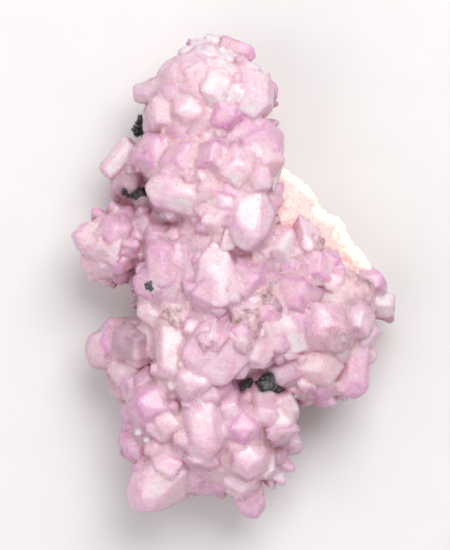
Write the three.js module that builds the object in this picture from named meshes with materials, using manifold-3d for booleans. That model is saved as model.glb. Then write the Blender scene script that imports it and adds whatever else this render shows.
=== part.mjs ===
// Pink calcite with arsenopyrite: a cabinet specimen about 121 mm tall, 81 mm wide and 39 mm deep.
// It lies on its broken back. +Z points up out of the crystal face, +Y runs to the specimen's top
// and +X to its right-hand, broken edge. Units are millimetres. The origin is the middle of the
// bounding box's underside.
import * as THREE from "three";
import { ConvexGeometry } from "three/addons/geometries/ConvexGeometry.js";
import { mergeVertices } from "three/addons/utils/BufferGeometryUtils.js";
import Module from "manifold-3d";

const wasm = await Module();
wasm.setup();

const radians = THREE.MathUtils.degToRad;

// ---------------------------------------------------------------- driving dimensions
const CLEARANCE = 0.3; // gap kept between neighbouring minerals
const SLAB_TOP = 10.5; // thickness of the massive calcite behind the crystals
const CALCITE_UNDERSIDE = 3; // no crystal hangs lower than this
const BOX_MIDDLE = [-0.1, 0.3]; // middle of the bounding box on the plan grid that places are given on
const FINEST_DETAIL = 0.12; // facets finer than this are merged

// A calcite crystal's habit. taper: lean of the six scalenohedron faces from the c-axis.
// slope: lean of the three rhombohedron faces that cap it, from the plane across the c-axis.
// blunt: how much of the cap a flat c-face takes off, as a share of the width.
const HABITS = {
  rhomb: { taper: 10, slope: 39, blunt: 0 },
  nail: { taper: 5, slope: 28, blunt: 0 },
  tooth: { taper: 16, slope: 60, blunt: 0 },
  dome: { taper: 13, slope: 38, blunt: 0.09 },
  low: { taper: 8, slope: 23, blunt: 0 },
  disc: { taper: 6, slope: 20, blunt: 0.12 },
  egg: { taper: 3, slope: 44, blunt: 0.03 },
};
const EGG_SHOULDER = 66; // how far an egg-shaped crystal's six shoulder faces turn from its tip
const EGG_FOOT = 130; // how far the three faces that round its other end turn from its tip
const SIDE_REACH = 0.93; // how far the side faces lie from the axis, as a share of half the width
const FACE_SPREAD = 25; // half the angle between paired scalenohedron faces

// The larger crystals of the front, by district. Columns: tip x, y, z; heading of the tip round Z from
// +X; tilt of the tip above the horizontal; length; width; habit; turn about the crystal's axis.
const TOP_LOBE = [
  [-5, 60.8, 19, 88, -20, 11, 6.5, "nail", 20],
  [-9.4, 59.9, 20, 108, -18, 11, 6.2, "rhomb", 10],
  [-12.9, 57.4, 20, 128, -20, 11, 6.2, "nail", 40],
  [-5, 50.8, 33.5, 90, 75, 10, 10, "nail", 20],
  [-3.8, 45.2, 36, 270, 75, 10, 10, "dome", 20],
  [-12.5, 53.2, 30, 130, 50, 10, 10, "low", 0],
  [-15.5, 48.7, 29.5, 190, 55, 10, 10, "low", 30],
  [-9.8, 48.2, 33, 200, 70, 10, 10, "low", 60],
  [-18.8, 52, 20, 150, -15, 10, 7, "nail", 10],
  [-25.1, 46, 19, 185, -15, 10, 6.8, "dome", 0],
  [-19.2, 38.6, 29.5, 215, 50, 12, 10.9, "rhomb", 15],
  [-11.4, 38.8, 33, 262, 55, 12, 10.3, "dome", 0],
  [-2, 37.2, 35, 265, 45, 12, 10, "dome", 30],
  [4.8, 39.3, 33.5, 278, 38, 10.5, 10.2, "rhomb", 0],
];
const UPPER_BAND = [
  [-21.3, 30.2, 30, 185, 62, 14, 12.5, "dome", 0],
  [-14, 29.2, 35.5, 150, 72, 12, 11.5, "rhomb", 30],
  [-6.3, 28.8, 38, 200, 72, 12, 10, "rhomb", 0],
  [0.8, 28.6, 38.8, 75, 72, 13, 11.4, "dome", 20],
  [7.2, 36.4, 34.8, 70, 60, 13, 11.5, "rhomb", 10],
  [8.2, 28.5, 36.5, 330, 68, 12, 11.5, "rhomb", 30],
  [12.3, 34, 25, 350, 0, 10, 7.2, "rhomb", 0],
  [12.3, 29, 23, 345, 0, 10, 7.2, "rhomb", 50],
  [-21.9, 22.6, 31.5, 168, 8, 18, 10.6, "egg", 0],
  [3.2, 6.5, 35, 267, 16, 18, 10.6, "egg", 30],
];
const LEFT_SPUR = [
  [-29.4, 12.8, 27, 95, 70, 12, 10.3, "dome", 30],
  [-40.8, 10.8, 19, 170, -12, 14, 9, "rhomb", 60],
  [-38.6, 3.5, 17, 195, -12, 12, 8, "rhomb", 0],
  [-34, 8, 25.8, 190, 72, 11, 9.69, "nail", 15],
];
const MIDDLE = [
  [-18.6, 9.7, 31, 100, 12, 11, 8.4, "rhomb", 0],
  [-25, 0.2, 29, 160, 10, 12, 8.6, "rhomb", 0],
  [-24, -6.2, 27.5, 150, 5, 13, 8, "rhomb", 0],
  [-17.5, -9.5, 33.5, 185, 55, 11, 9.5, "rhomb", 10],
  [-15.4, -25.5, 31.5, 268, 12, 13, 9, "nail", 30],
  [-10.5, -27.5, 36, 250, 62, 12, 11.5, "dome", 0],
  [-12.4, 11, 29.5, 96, 8, 18, 8, "rhomb", 0],
  [-9.4, 11.3, 30, 90, 8, 18, 7, "rhomb", 60],
  [-5.2, 9.4, 34.5, 97, 13, 15, 9.4, "tooth", 0],
  [-6, -6.5, 38.6, 255, 65, 12, 11.5, "nail", 20],
  [-12.5, -5.5, 33, 240, 70, 10, 9.5, "low", 0],
  [4, 3.5, 31.5, 265, 75, 10, 9.69, "nail", 0],
  [2.2, -4, 37.5, 255, 68, 11, 10.8, "rhomb", 30],
  [7.6, -3, 36, 65, 62, 11, 9.5, "rhomb", 0],
];
const RIGHT_LOBE = [
  [11.5, 7.2, 32, 290, 84, 12, 10.8, "rhomb", 10],
  [20.6, 1.6, 32.5, 290, 78, 13, 10.5, "rhomb", 30],
  [15.6, -6.2, 34.5, 280, 76, 14, 13, "dome", 30],
  [34.3, -1, 26, 32, 8, 15, 10.5, "rhomb", 0],
  [37.9, -0.3, 18, 12, 0, 11, 6.2, "nail", 20],
  [40.6, -7.2, 15, 350, -10, 12, 7.5, "nail", 0],
  [31.2, -12, 30.5, 310, 68, 12, 9.5, "rhomb", 0],
  [35.4, -13.4, 24, 0, 45, 12, 9.5, "rhomb", 0],
  [35.6, -15, 14, 356, -5, 11, 6.5, "dome", 0],
  [35.9, -20.4, 18, 335, 0, 11, 6.5, "rhomb", 0],
  [29.4, -15.6, 32, 333, 15, 15, 11.6, "egg", 20],
  [21, -23.4, 31, 268, 66, 11, 11.4, "nail", 30],
  [30.4, -29.8, 23, 280, 18, 13, 9.6, "dome", 0],
  [22.9, -32.6, 20, 280, 5, 12, 6.5, "rhomb", 30],
  [18.2, -32.1, 19, 262, 5, 11, 6.5, "rhomb", 0],
  [18.6, -17.8, 31.5, 325, 12, 12, 8.5, "tooth", 10],
  [11.8, -13.8, 35, 40, 70, 10, 9.5, "nail", 0],
];
const CENTRE = [
  [-5, -19.4, 37.5, 280, 78, 12, 17.1, "disc", 10],
  [4.5, -9.6, 37.3, 40, 72, 13, 12.5, "dome", 0],
];
const LOWER_LOBE = [
  [-6.7, -45.9, 31, 276, 10, 18, 10.8, "egg", 30],
  [-3.8, -29.5, 33, 290, 66, 12, 9.6, "rhomb", 0],
  [2, -38.8, 33.5, 272, 70, 12, 10.3, "dome", 0],
  [3.4, -46.6, 32, 268, 66, 12, 10.3, "dome", 0],
  [10.3, -38, 30, 262, 60, 12, 9.8, "nail", 0],
  [15.2, -37, 22, 350, 0, 10, 7, "rhomb", 0],
  [5.8, -60.5, 16, 290, -6, 14, 8, "rhomb", 60],
  [1.8, -53.6, 25.5, 275, 50, 11, 9.69, "rhomb", 0],
  [-7.5, -54.6, 19, 265, 5, 12, 11, "low", 0],
  [-25.7, -57.8, 19.5, 226, -8, 21, 12.4, "egg", 30],
  [-25.6, -49.8, 20, 205, 0, 12, 7.5, "rhomb", 0],
  [-29.3, -40.8, 20, 185, 10, 13, 7, "rhomb", 0],
  [-21.3, -33.8, 31, 250, 66, 12, 11.4, "dome", 0],
  [-28.5, -33.5, 20, 180, 10, 12, 7.5, "rhomb", 0],
  [-16.6, -38, 31, 255, 66, 12, 9.69, "dome", 0],
  [-16.5, -44, 28.5, 100, 60, 10, 9.5, "low", 0],
  [-8.5, -49.5, 26, 270, 72, 12, 9.5, "low", 0],
];
const LOWER_LEFT = [
  [-24.4, -10.2, 22.5, 92, 10, 9, 12, "nail", 0],
  [-37.4, -18.4, 15, 185, 5, 13, 11.2, "dome", 0],
  [-31.6, -26.5, 16, 200, 5, 11, 7, "dome", 0],
  [-28.3, -30.3, 18, 225, 5, 10, 6.5, "rhomb", 0],
  [-25.5, -28.6, 23, 240, 62, 11, 9.69, "dome", 0],
];

// The calcite that fills in behind the crystals, as ellipsoids: centre x, y, z and radii x, y, z.
const CORE = [
  [-6, 46, 18, 12, 11, 16],
  [-5, 30, 18, 16, 11, 16.5],
  [-28, 9, 13, 8.5, 8.5, 11],
  [-24, 25, 9, 6.5, 8.5, 7],
  [-20.5, 8, 12.5, 6, 9, 10.5],
  [-3, 10, 18, 13.5, 12, 16],
  [20, -8, 16, 14, 16, 13.5],
  [-3, -14, 18, 18, 12, 17],
  [7, -28, 14.5, 9.5, 9.5, 10],
  [-7, -42, 16, 15.5, 11.5, 13.5],
  [-24, -23, 11, 8.5, 10.5, 9],
  [-18.5, 39, 16, 4.5, 6.5, 9],
];
const CORE_DETAIL = 1;

// Outline of the broken slab behind the crystals, anticlockwise from its right-hand point, and
// its broken side: height, then how far inside the outline the least and the most broken stand.
const SLAB_OUTLINE = [
  [35, -3], [33, 0], [28, 5], [24, 10], [20, 15], [15, 21], [10, 26], [9, 33], [8, 39],
  [7, 45], [3, 51], [-2, 56], [-8, 57], [-13, 54.5], [-17, 51], [-21, 47], [-20.5, 41],
  [-19, 36], [-22, 32], [-27, 30], [-28.5, 23], [-31, 17], [-35, 11], [-33.5, 4], [-28, 0.5],
  [-22.5, -5], [-26, -12], [-33, -17.5], [-29, -24], [-25.5, -29.5], [-25, -38], [-23, -46],
  [-19, -52], [-11, -51.5], [-4, -51.5], [2, -54], [8, -49.5], [11, -43], [12.5, -35],
  [18, -29.5], [26, -28.5], [31, -25], [33, -18], [34, -10],
];
const SLAB_SIDE = [
  [0, 2.6, 5], [2.5, 0.6, 3.4], [6, -0.4, 2.4], [9, 0, 2], [SLAB_TOP, 1.6, 3.2],
];

// The massive calcite that stands bare along the broken upper right. Each station gives the
// broken edge's x, y, the x, y where the crystals cover it, and how far the rim stands up.
const LEDGE_STATIONS = [
  [10.5, 29, 5, 25, 16], [12.6, 27.8, 6, 24, 17.5], [14.3, 26.1, 7, 22.5, 17], [15.8, 25.3, 8, 21, 18],
  [19.2, 22.5, 9, 18, 18.5], [21, 19.4, 11, 15, 17.5], [22.6, 16.6, 12, 12, 18], [25, 15.5, 13.5, 10, 19],
  [26.9, 14.8, 15, 8.5, 18], [28.1, 12, 16, 6.5, 17.5], [29.2, 9.9, 17, 5, 18], [30, 8.3, 18, 3.5, 17],
  [31.7, 7.2, 19.5, 2, 16.5], [33.4, 4.9, 21, 0, 16], [34.6, 3.2, 22.5, -2, 15], [36, 0.5, 24, -4, 14],
];
// Section of the ledge: share of the way from the broken edge to the crystals, and height above
// (or, for the foot, instead of) the rim.
const LEDGE_SECTION = [
  [0.3, -15], [0.03, -8], [0, -3], [0.06, 0], [0.2, 2.2], [0.3, 4.2], [0.62, 7.4], [1, 8.6],
];

// Arsenopyrite, in the hollows between crystals. Each patch is grains grown together; a grain's
// columns are x, y, z of its middle, its length, and two turns.
const ARSENOPYRITE = {
  arsenopyrite_main_hollow: [
    [10, -25, 25, 5.2, 20, 35], [8.2, -26.5, 25, 4.6, 75, 20], [10.6, -26.7, 24.8, 4, 140, 50],
    [7.1, -28.3, 25, 3.1, 10, 60], [8.7, -24.7, 24.5, 3.6, 100, 30],
  ],
  arsenopyrite_small_hollow: [[2.9, -26.9, 24, 2.7, 40, 40], [3.7, -26.2, 23.8, 2, 110, 20]],
  arsenopyrite_left_hollow: [
    [-26.8, 22.7, 15, 3.6, 0, 30], [-24.9, 21.8, 14.8, 3.6, 60, 55], [-23, 20.6, 15.4, 4.2, 25, 20],
    [-21.4, 19.4, 15, 3.4, 95, 40],
  ],
  arsenopyrite_upper_notch: [
    [-22.8, 39, 15, 3.6, 30, 30], [-23.9, 37.1, 14, 3, 80, 45], [-22, 36.9, 15, 3.6, 150, 25],
  ],
  arsenopyrite_middle_grain: [[-20.9, -1.9, 31.8, 2.6, 15, 50]],
};
const GRAIN_ANGLE = 56; // half the angle of arsenopyrite's rhombic prism
const GRAIN_CHISEL = 40; // slope of the two faces at each end of the prism

// ---------------------------------------------------------------- geometry tools
// Repeatable scatter in 0..1 from a crystal's number and a salt.
function scatter(number, salt) {
  const s = Math.sin(number * 12.9898 + salt * 78.233) * 43758.5453;
  return s - Math.floor(s);
}

// A closed geometry as a manifold-3d solid.
function solidOf(geometry) {
  const bare = geometry.clone();
  for (const name of Object.keys(bare.attributes)) {
    if (name !== "position") bare.deleteAttribute(name);
  }
  const merged = mergeVertices(bare, 1e-4);
  return new wasm.Manifold(
    new wasm.Mesh({
      numProp: 3,
      vertProperties: new Float32Array(merged.attributes.position.array),
      triVerts: new Uint32Array(merged.index.array),
    }),
  );
}

// The convex solid inside a set of planes, each a unit normal and a distance from the origin.
function solidInsidePlanes(planes, place) {
  const corners = [];
  for (let i = 0; i < planes.length; i++) {
    for (let j = i + 1; j < planes.length; j++) {
      for (let k = j + 1; k < planes.length; k++) {
        const [a, b, c] = [planes[i], planes[j], planes[k]];
        const bc = new THREE.Vector3().crossVectors(b.normal, c.normal);
        const det = a.normal.dot(bc);
        if (Math.abs(det) < 1e-4) continue;
        const ca = new THREE.Vector3().crossVectors(c.normal, a.normal);
        const ab = new THREE.Vector3().crossVectors(a.normal, b.normal);
        const p = bc.multiplyScalar(a.reach);
        p.addScaledVector(ca, b.reach).addScaledVector(ab, c.reach).divideScalar(det);
        if (planes.every((q) => q.normal.dot(p) <= q.reach + 1e-6)) corners.push(p);
      }
    }
  }
  return solidOf(new ConvexGeometry(corners.map((p) => p.applyMatrix4(place))));
}

// A plane that faces an azimuth round the crystal's axis and leans from the axis.
function crystalFace(azimuth, lean, reach) {
  const a = radians(azimuth);
  const t = radians(lean);
  const normal = new THREE.Vector3(
    Math.sin(t) * Math.cos(a),
    Math.sin(t) * Math.sin(a),
    Math.cos(t),
  );
  return { normal, reach };
}

// The frame of a crystal: x faces up, z runs to the tip, the origin is half-way along.
function crystalPlace([x, y, z, heading, tilt, length]) {
  const h = radians(heading);
  const t = radians(tilt);
  const axis = new THREE.Vector3(Math.cos(t) * Math.cos(h), Math.cos(t) * Math.sin(h), Math.sin(t));
  const up = new THREE.Vector3(-Math.sin(t) * Math.cos(h), -Math.sin(t) * Math.sin(h), Math.cos(t));
  const side = new THREE.Vector3().crossVectors(axis, up);
  const middle = new THREE.Vector3(x, y, z).addScaledVector(axis, -length / 2);
  return new THREE.Matrix4().makeBasis(up, side, axis).setPosition(middle);
}

// One calcite crystal: six scalenohedron faces, three rhombohedron faces, perhaps a c-face, and
// a flat buried end.
function calciteCrystal(row, number) {
  const [, , , , , length, width, habitName, turn] = row;
  const habit = HABITS[habitName];
  const half = length / 2;
  const blunt = habit.blunt * width;
  const planes = [];
  for (let k = 0; k < 3; k++) {
    const third = turn + 120 * k;
    for (const side of [-1, 1]) {
      const bulge = 0.94 + 0.12 * scatter(number, 2 * k + side);
      const reach = (width / 2) * SIDE_REACH * Math.cos(radians(habit.taper)) * bulge;
      planes.push(crystalFace(third + 60 + side * FACE_SPREAD, 90 - habit.taper, reach));
    }
    const uneven = 0.97 + 0.06 * scatter(number, 10 + k);
    const capReach = (half + blunt) * uneven * Math.cos(radians(habit.slope));
    planes.push(crystalFace(third, habit.slope, capReach));
  }
  planes.push(crystalFace(0, 180, half));
  if (blunt) planes.push(crystalFace(0, 0, half));
  if (habitName === "egg") planes.push(...eggFaces(half, width, turn));
  return solidInsidePlanes(planes, crystalPlace(row));
}

// The faces that round both ends of an egg-shaped crystal.
function eggFaces(half, width, turn) {
  const planes = [];
  for (let k = 0; k < 6; k++) {
    const reach = (half + 0.62 * width) * Math.cos(radians(EGG_SHOULDER));
    planes.push(crystalFace(turn + 60 * k, EGG_SHOULDER, reach));
  }
  for (let k = 0; k < 3; k++) {
    const reach = -(half + 0.1 * width) * Math.cos(radians(EGG_FOOT));
    planes.push(crystalFace(turn + 120 * k, EGG_FOOT, reach));
  }
  return planes;
}

// A grain of arsenopyrite: a stout rhombic prism with a chisel edge at both ends.
function arsenopyriteGrain([x, y, z, length, spin, lean], clearance) {
  const planes = [];
  for (const side of [0, 180]) {
    for (const tilt of [-GRAIN_ANGLE, GRAIN_ANGLE]) {
      planes.push(crystalFace(90 + side + tilt, 90, 0.36 * length + clearance));
    }
    for (const end of [GRAIN_CHISEL, 180 - GRAIN_CHISEL]) {
      planes.push(crystalFace(side, end, 0.42 * length + clearance));
    }
  }
  const place = new THREE.Matrix4().makeRotationFromEuler(
    new THREE.Euler(radians(lean), 0, radians(spin), "ZYX"),
  );
  return solidInsidePlanes(planes, place.setPosition(x, y, z));
}

// A closed solid through flat rings of points that all have the same count.
function solidThroughRings(rings) {
  const count = rings[0].length;
  const positions = rings.flat().flatMap((p) => [p.x, p.y, p.z]);
  const index = [];
  for (let r = 0; r + 1 < rings.length; r++) {
    for (let i = 0; i < count; i++) {
      const a = r * count + i;
      const b = r * count + ((i + 1) % count);
      index.push(a, b, a + count, b, b + count, a + count);
    }
  }
  const last = (rings.length - 1) * count;
  for (const [a, b, c] of capTriangles(rings[0])) index.push(a, c, b);
  for (const [a, b, c] of capTriangles(rings[rings.length - 1])) {
    index.push(last + a, last + b, last + c);
  }
  const geometry = new THREE.BufferGeometry();
  geometry.setAttribute("position", new THREE.Float32BufferAttribute(positions, 3));
  geometry.setIndex(index);
  return solidOf(geometry);
}

// Triangles that fill a flat ring, turning the same way as the ring does.
function capTriangles(ring) {
  const [origin, ...rest] = ring;
  const normal = new THREE.Vector3();
  rest.forEach((p, i) => {
    const before = i ? rest[i - 1] : origin;
    normal.add(new THREE.Vector3().crossVectors(before.clone().sub(origin), p.clone().sub(origin)));
  });
  const turn = new THREE.Quaternion().setFromUnitVectors(
    normal.normalize(),
    new THREE.Vector3(0, 0, 1),
  );
  const flat = ring.map((p) => {
    const q = p.clone().applyQuaternion(turn);
    return new THREE.Vector2(q.x, q.y);
  });
  return THREE.ShapeUtils.triangulateShape(flat, []);
}

// ---------------------------------------------------------------- the pieces
const FRONT = [
  ...TOP_LOBE, ...UPPER_BAND, ...LEFT_SPUR, ...MIDDLE, ...RIGHT_LOBE, ...CENTRE, ...LOWER_LOBE,
  ...LOWER_LEFT,
];

function coreSolid([x, y, z, rx, ry, rz]) {
  const lump = new THREE.IcosahedronGeometry(1, CORE_DETAIL);
  lump.scale(rx, ry, rz).translate(x, y, z);
  return solidOf(lump);
}

function slabSolid(clearance) {
  const outline = SLAB_OUTLINE.map(([x, y]) => new THREE.Vector2(x, y));
  const count = outline.length;
  const rings = SLAB_SIDE.map(([height, least, most], level) =>
    outline.map((p, i) => {
      const along = outline[(i + 1) % count].clone().sub(outline[(i + count - 1) % count]);
      const inward = new THREE.Vector2(-along.y, along.x).normalize();
      const inset = least + (most - least) * scatter(i, level) - clearance;
      const q = p.clone().addScaledVector(inward, inset);
      return new THREE.Vector3(q.x, q.y, height + (height < SLAB_TOP ? 0 : clearance));
    }),
  );
  return solidThroughRings(rings);
}

function ledgeSolid(clearance) {
  const rings = LEDGE_STATIONS.map(([ex, ey, cx, cy, rim]) => {
    const edge = new THREE.Vector2(ex, ey);
    const covered = new THREE.Vector2(cx, cy);
    const ring = LEDGE_SECTION.map(([share, rise]) => {
      const p = edge.clone().lerp(covered, share);
      const z = Math.max(rim + rise, 1.5);
      return new THREE.Vector3(p.x, p.y, z + (rise > -3 ? clearance : 0));
    });
    ring.push(new THREE.Vector3(cx, cy, 1.5));
    return ring;
  });
  return solidThroughRings(rings);
}

function matrixSolid(clearance) {
  return slabSolid(clearance).add(ledgeSolid(clearance));
}

function arsenopyriteSolid(grains, clearance) {
  return wasm.Manifold.union(grains.map((grain) => arsenopyriteGrain(grain, clearance)));
}

// A block that reaches from far below up to the level below which no crystal hangs.
function underside() {
  const block = new THREE.BoxGeometry(200, 200, 20);
  return solidOf(block.translate(0, 0, CALCITE_UNDERSIDE - 10));
}

const patches = Object.entries(ARSENOPYRITE);
const pockets = wasm.Manifold.union(
  patches.map(([, grains]) => arsenopyriteSolid(grains, CLEARANCE)),
);
const matrix = matrixSolid(0).subtract(pockets);
const cluster = wasm.Manifold.union([...FRONT.map(calciteCrystal), ...CORE.map(coreSolid)])
  .simplify(FINEST_DETAIL)
  .subtract(wasm.Manifold.union([matrixSolid(CLEARANCE), pockets, underside()]));

function largest(solid) {
  return solid.decompose().sort((a, b) => b.volume() - a.volume())[0];
}

function meshOf(name, solid, color, roughness, metalness) {
  const { numProp, vertProperties, triVerts } = solid.getMesh();
  const positions = new Float32Array((vertProperties.length / numProp) * 3);
  for (let i = 0; i < positions.length / 3; i++) {
    positions.set(vertProperties.subarray(i * numProp, i * numProp + 3), 3 * i);
  }
  const geometry = new THREE.BufferGeometry();
  geometry.setAttribute("position", new THREE.BufferAttribute(positions, 3));
  geometry.setIndex(new THREE.BufferAttribute(triVerts, 1));
  const mesh = new THREE.Mesh(
    geometry,
    new THREE.MeshStandardMaterial({ color, roughness, metalness, flatShading: true }),
  );
  mesh.name = name;
  return mesh;
}

const specimen = new THREE.Group();
specimen.add(meshOf("pink_calcite_crystals", largest(cluster), 0xe9c3d6, 0.35, 0));
specimen.add(meshOf("massive_calcite_matrix", largest(matrix), 0xf3dccf, 0.7, 0));
for (const [name, grains] of patches) {
  specimen.add(meshOf(name, arsenopyriteSolid(grains, 0), 0x4a4a48, 0.4, 0.9));
}
specimen.position.set(-BOX_MIDDLE[0], -BOX_MIDDLE[1], 0);
export default specimen;
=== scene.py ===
import math

import bmesh
import bpy
import numpy as np
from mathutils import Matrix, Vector
from mathutils.bvhtree import BVHTree


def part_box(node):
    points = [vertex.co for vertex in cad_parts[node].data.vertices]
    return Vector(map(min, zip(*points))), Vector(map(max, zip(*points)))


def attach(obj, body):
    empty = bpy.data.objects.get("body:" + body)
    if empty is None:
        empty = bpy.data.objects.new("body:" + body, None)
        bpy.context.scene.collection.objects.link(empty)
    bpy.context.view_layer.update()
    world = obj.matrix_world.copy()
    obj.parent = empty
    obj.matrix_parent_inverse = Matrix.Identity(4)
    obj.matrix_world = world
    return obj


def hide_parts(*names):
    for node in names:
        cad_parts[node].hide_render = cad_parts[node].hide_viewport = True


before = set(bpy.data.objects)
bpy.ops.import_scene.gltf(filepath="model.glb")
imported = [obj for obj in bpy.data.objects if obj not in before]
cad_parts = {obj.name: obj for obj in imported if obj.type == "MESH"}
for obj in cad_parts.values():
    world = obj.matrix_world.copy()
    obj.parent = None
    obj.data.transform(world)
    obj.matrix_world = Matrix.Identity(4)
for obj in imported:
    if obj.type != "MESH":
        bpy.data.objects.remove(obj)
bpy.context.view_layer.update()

# ---------------------------------------------------------------- Massive calcite
# The cream to peach calcite that the crystals grew on. It is one broken slab: bare along the
# upper right, with cleavage steps and a rim whitened by painted highlight, rough all over the back.
MM = 0.001
BOX_MIDDLE = np.array([-0.1, 0.3, 0])
SLAB_TOP = 10.5
SLAB_OUTLINE = [
    (35, -3), (33, 0), (28, 5), (24, 10), (20, 15), (15, 21), (10, 26), (9, 33), (8, 39),
    (7, 45), (3, 51), (-2, 56), (-8, 57), (-13, 54.5), (-17, 51), (-21, 47), (-20.5, 41),
    (-19, 36), (-22, 32), (-27, 30), (-28.5, 23), (-31, 17), (-35, 11), (-33.5, 4), (-28, 0.5),
    (-22.5, -5), (-26, -12), (-33, -17.5), (-29, -24), (-25.5, -29.5), (-25, -38), (-23, -46),
    (-19, -52), (-11, -51.5), (-4, -51.5), (2, -54), (8, -49.5), (11, -43), (12.5, -35),
    (18, -29.5), (26, -28.5), (31, -25), (33, -18), (34, -10),
]
SLAB_SIDE = [(0, 2.6, 5), (2.5, 0.6, 3.4), (6, -0.4, 2.4), (9, 0, 2), (SLAB_TOP, 1.6, 3.2)]
LEDGE_STATIONS = [
    (10.5, 29, 5, 25, 16), (12.6, 27.8, 6, 24, 17.5), (14.3, 26.1, 7, 22.5, 17),
    (15.8, 25.3, 8, 21, 18), (19.2, 22.5, 9, 18, 18.5), (21, 19.4, 11, 15, 17.5),
    (22.6, 16.6, 12, 12, 18), (25, 15.5, 13.5, 10, 19), (26.9, 14.8, 15, 8.5, 18),
    (28.1, 12, 16, 6.5, 17.5), (29.2, 9.9, 17, 5, 18), (30, 8.3, 18, 3.5, 17),
    (31.7, 7.2, 19.5, 2, 16.5), (33.4, 4.9, 21, 0, 16), (34.6, 3.2, 22.5, -2, 15),
    (36, 0.5, 24, -4, 14),
]
LEDGE_SECTION = [
    (0.3, -15), (0.03, -8), (0, -3), (0.06, 0), (0.2, 2.2), (0.3, 4.2), (0.62, 7.4), (1, 8.6),
]
FOOT = 1.5
BROKEN_GRAIN = 0.7
CLEAVAGE = [((0.86, 0.2, 0.47), 1.9), ((-0.35, 0.8, 0.49), 2.3), ((-0.3, -0.68, 0.67), 1.6)]
CLEAVAGE_SHARE = 0.42
SUGAR_HEIGHT, SUGAR_SIZE = 0.12, 1.6


def scatter(number, salt):
    """Repeatable scatter in 0..1."""
    s = math.sin(number * 12.9898 + salt * 78.233) * 43758.5453
    return s - math.floor(s)


def ripple(points, size, seed, waves=7):
    """A smooth, repeatable unevenness in about -1..1, with features of about the size given."""
    rng = np.random.default_rng(seed)
    total = np.zeros(len(points))
    for _ in range(waves):
        way = rng.normal(size=3)
        way *= 2 * math.pi / (size * rng.uniform(0.7, 1.6) * np.linalg.norm(way))
        total += np.sin(points @ way + rng.uniform(0, 2 * math.pi))
    return total / math.sqrt(waves / 2) / 1.6


def mesh_of(name, points, faces):
    """A mesh object from points in the plan grid's millimetres."""
    mesh = bpy.data.meshes.new(name)
    mesh.from_pydata(((points - BOX_MIDDLE) * MM).tolist(), [], [list(f) for f in faces])
    mesh.validate()
    thing = bpy.data.objects.new(name, mesh)
    bpy.context.scene.collection.objects.link(thing)
    return thing


def points_of(mesh):
    """A mesh's points, in the plan grid's millimetres."""
    flat = np.zeros(len(mesh.vertices) * 3)
    mesh.vertices.foreach_get("co", flat)
    return flat.reshape(-1, 3) / MM + BOX_MIDDLE


def put_points(mesh, points):
    """Moves a mesh's points to places in the plan grid's millimetres."""
    mesh.vertices.foreach_set("co", ((points - BOX_MIDDLE) * MM).ravel())
    mesh.update()


def applied(thing):
    """The thing's mesh with its modifiers applied."""
    graph = bpy.context.evaluated_depsgraph_get()
    mesh = bpy.data.meshes.new_from_object(thing.evaluated_get(graph))
    thing.modifiers.clear()
    thing.data = mesh
    mesh.materials.clear()
    mesh.calc_loop_triangles()
    return mesh


def through_rings(name, rings):
    """A closed mesh through rings of points that all have the same count."""
    count = len(rings[0])
    faces = []
    for r in range(len(rings) - 1):
        for i in range(count):
            a, b = r * count + i, r * count + (i + 1) % count
            faces.append((a, b, b + count, a + count))
    faces.append(tuple(range(count))[::-1])
    faces.append(tuple(range((len(rings) - 1) * count, len(rings) * count)))
    return mesh_of(name, np.concatenate(rings), faces)


def slab():
    """The broken slab: its outline in rings from the underside to the top, unevenly drawn in."""
    outline = np.array(SLAB_OUTLINE, float)
    along = np.roll(outline, -1, axis=0) - np.roll(outline, 1, axis=0)
    inward = np.stack([-along[:, 1], along[:, 0]], axis=1)
    inward /= np.linalg.norm(inward, axis=1)[:, None]
    rings = []
    for level, (height, least, most) in enumerate(SLAB_SIDE):
        inset = np.array([least + (most - least) * scatter(i, level) for i in range(len(outline))])
        ring = outline + inward * inset[:, None]
        rings.append(np.column_stack([ring, np.full(len(ring), height)]))
    return through_rings("slab", rings)


def ledge():
    """The bare ledge on the upper right, a section swept along the broken rim."""
    rings = []
    for ex, ey, cx, cy, rim in LEDGE_STATIONS:
        ring = [
            (ex + (cx - ex) * share, ey + (cy - ey) * share, max(rim + rise, FOOT))
            for share, rise in LEDGE_SECTION
        ]
        ring.append((cx, cy, FOOT))
        rings.append(np.array(ring, float))
    return through_rings("ledge", rings)


def cleave(points):
    """Pulls points part of the way on to the steps of calcite's three cleavage directions."""
    wander = 1.2 * ripple(points, 9, seed=4) + 0.5 * ripple(points, 3.5, seed=5)
    moved = points.copy()
    for number, (way, step) in enumerate(CLEAVAGE):
        way = np.array(way) / np.linalg.norm(way)
        level = (points @ way + wander) / step + 0.37 * number
        moved += np.outer((np.round(level) - level) * step * CLEAVAGE_SHARE, way)
    return moved


matrix = slab()
join = matrix.modifiers.new("join", "BOOLEAN")
join.operation, join.solver, join.object = "UNION", "MANIFOLD", ledge()
applied(matrix)
bpy.data.objects.remove(bpy.data.objects["ledge"])
grain = matrix.modifiers.new("grain", "REMESH")
grain.mode, grain.voxel_size = "VOXEL", BROKEN_GRAIN * MM
applied(matrix)
low, high = (np.array(c) / MM + BOX_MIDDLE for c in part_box("massive_calcite_matrix"))
spot = cleave(points_of(matrix.data))
spot += SUGAR_HEIGHT * np.stack([ripple(spot, SUGAR_SIZE, seed=20 + axis) for axis in range(3)], axis=1)
put_points(matrix.data, np.clip(spot, low, high))
matrix.name = matrix.data.name = "massive_calcite"


def float_attribute(mesh, name, values):
    """Keeps a value for each of a mesh's points, for its material to read."""
    layer = mesh.attributes.new(name, "FLOAT", "POINT")
    layer.data.foreach_set("value", np.asarray(values, np.float32))


# The slab is peach, and a painted highlight whitens a band along the ledge's broken rim.
LEDGE_EDGE = np.array([s[:2] for s in LEDGE_STATIONS], float)
RIM_HIGHLIGHT_WIDTH, RIM_HIGHLIGHT_FADE = 3.0, 1.1


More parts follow.
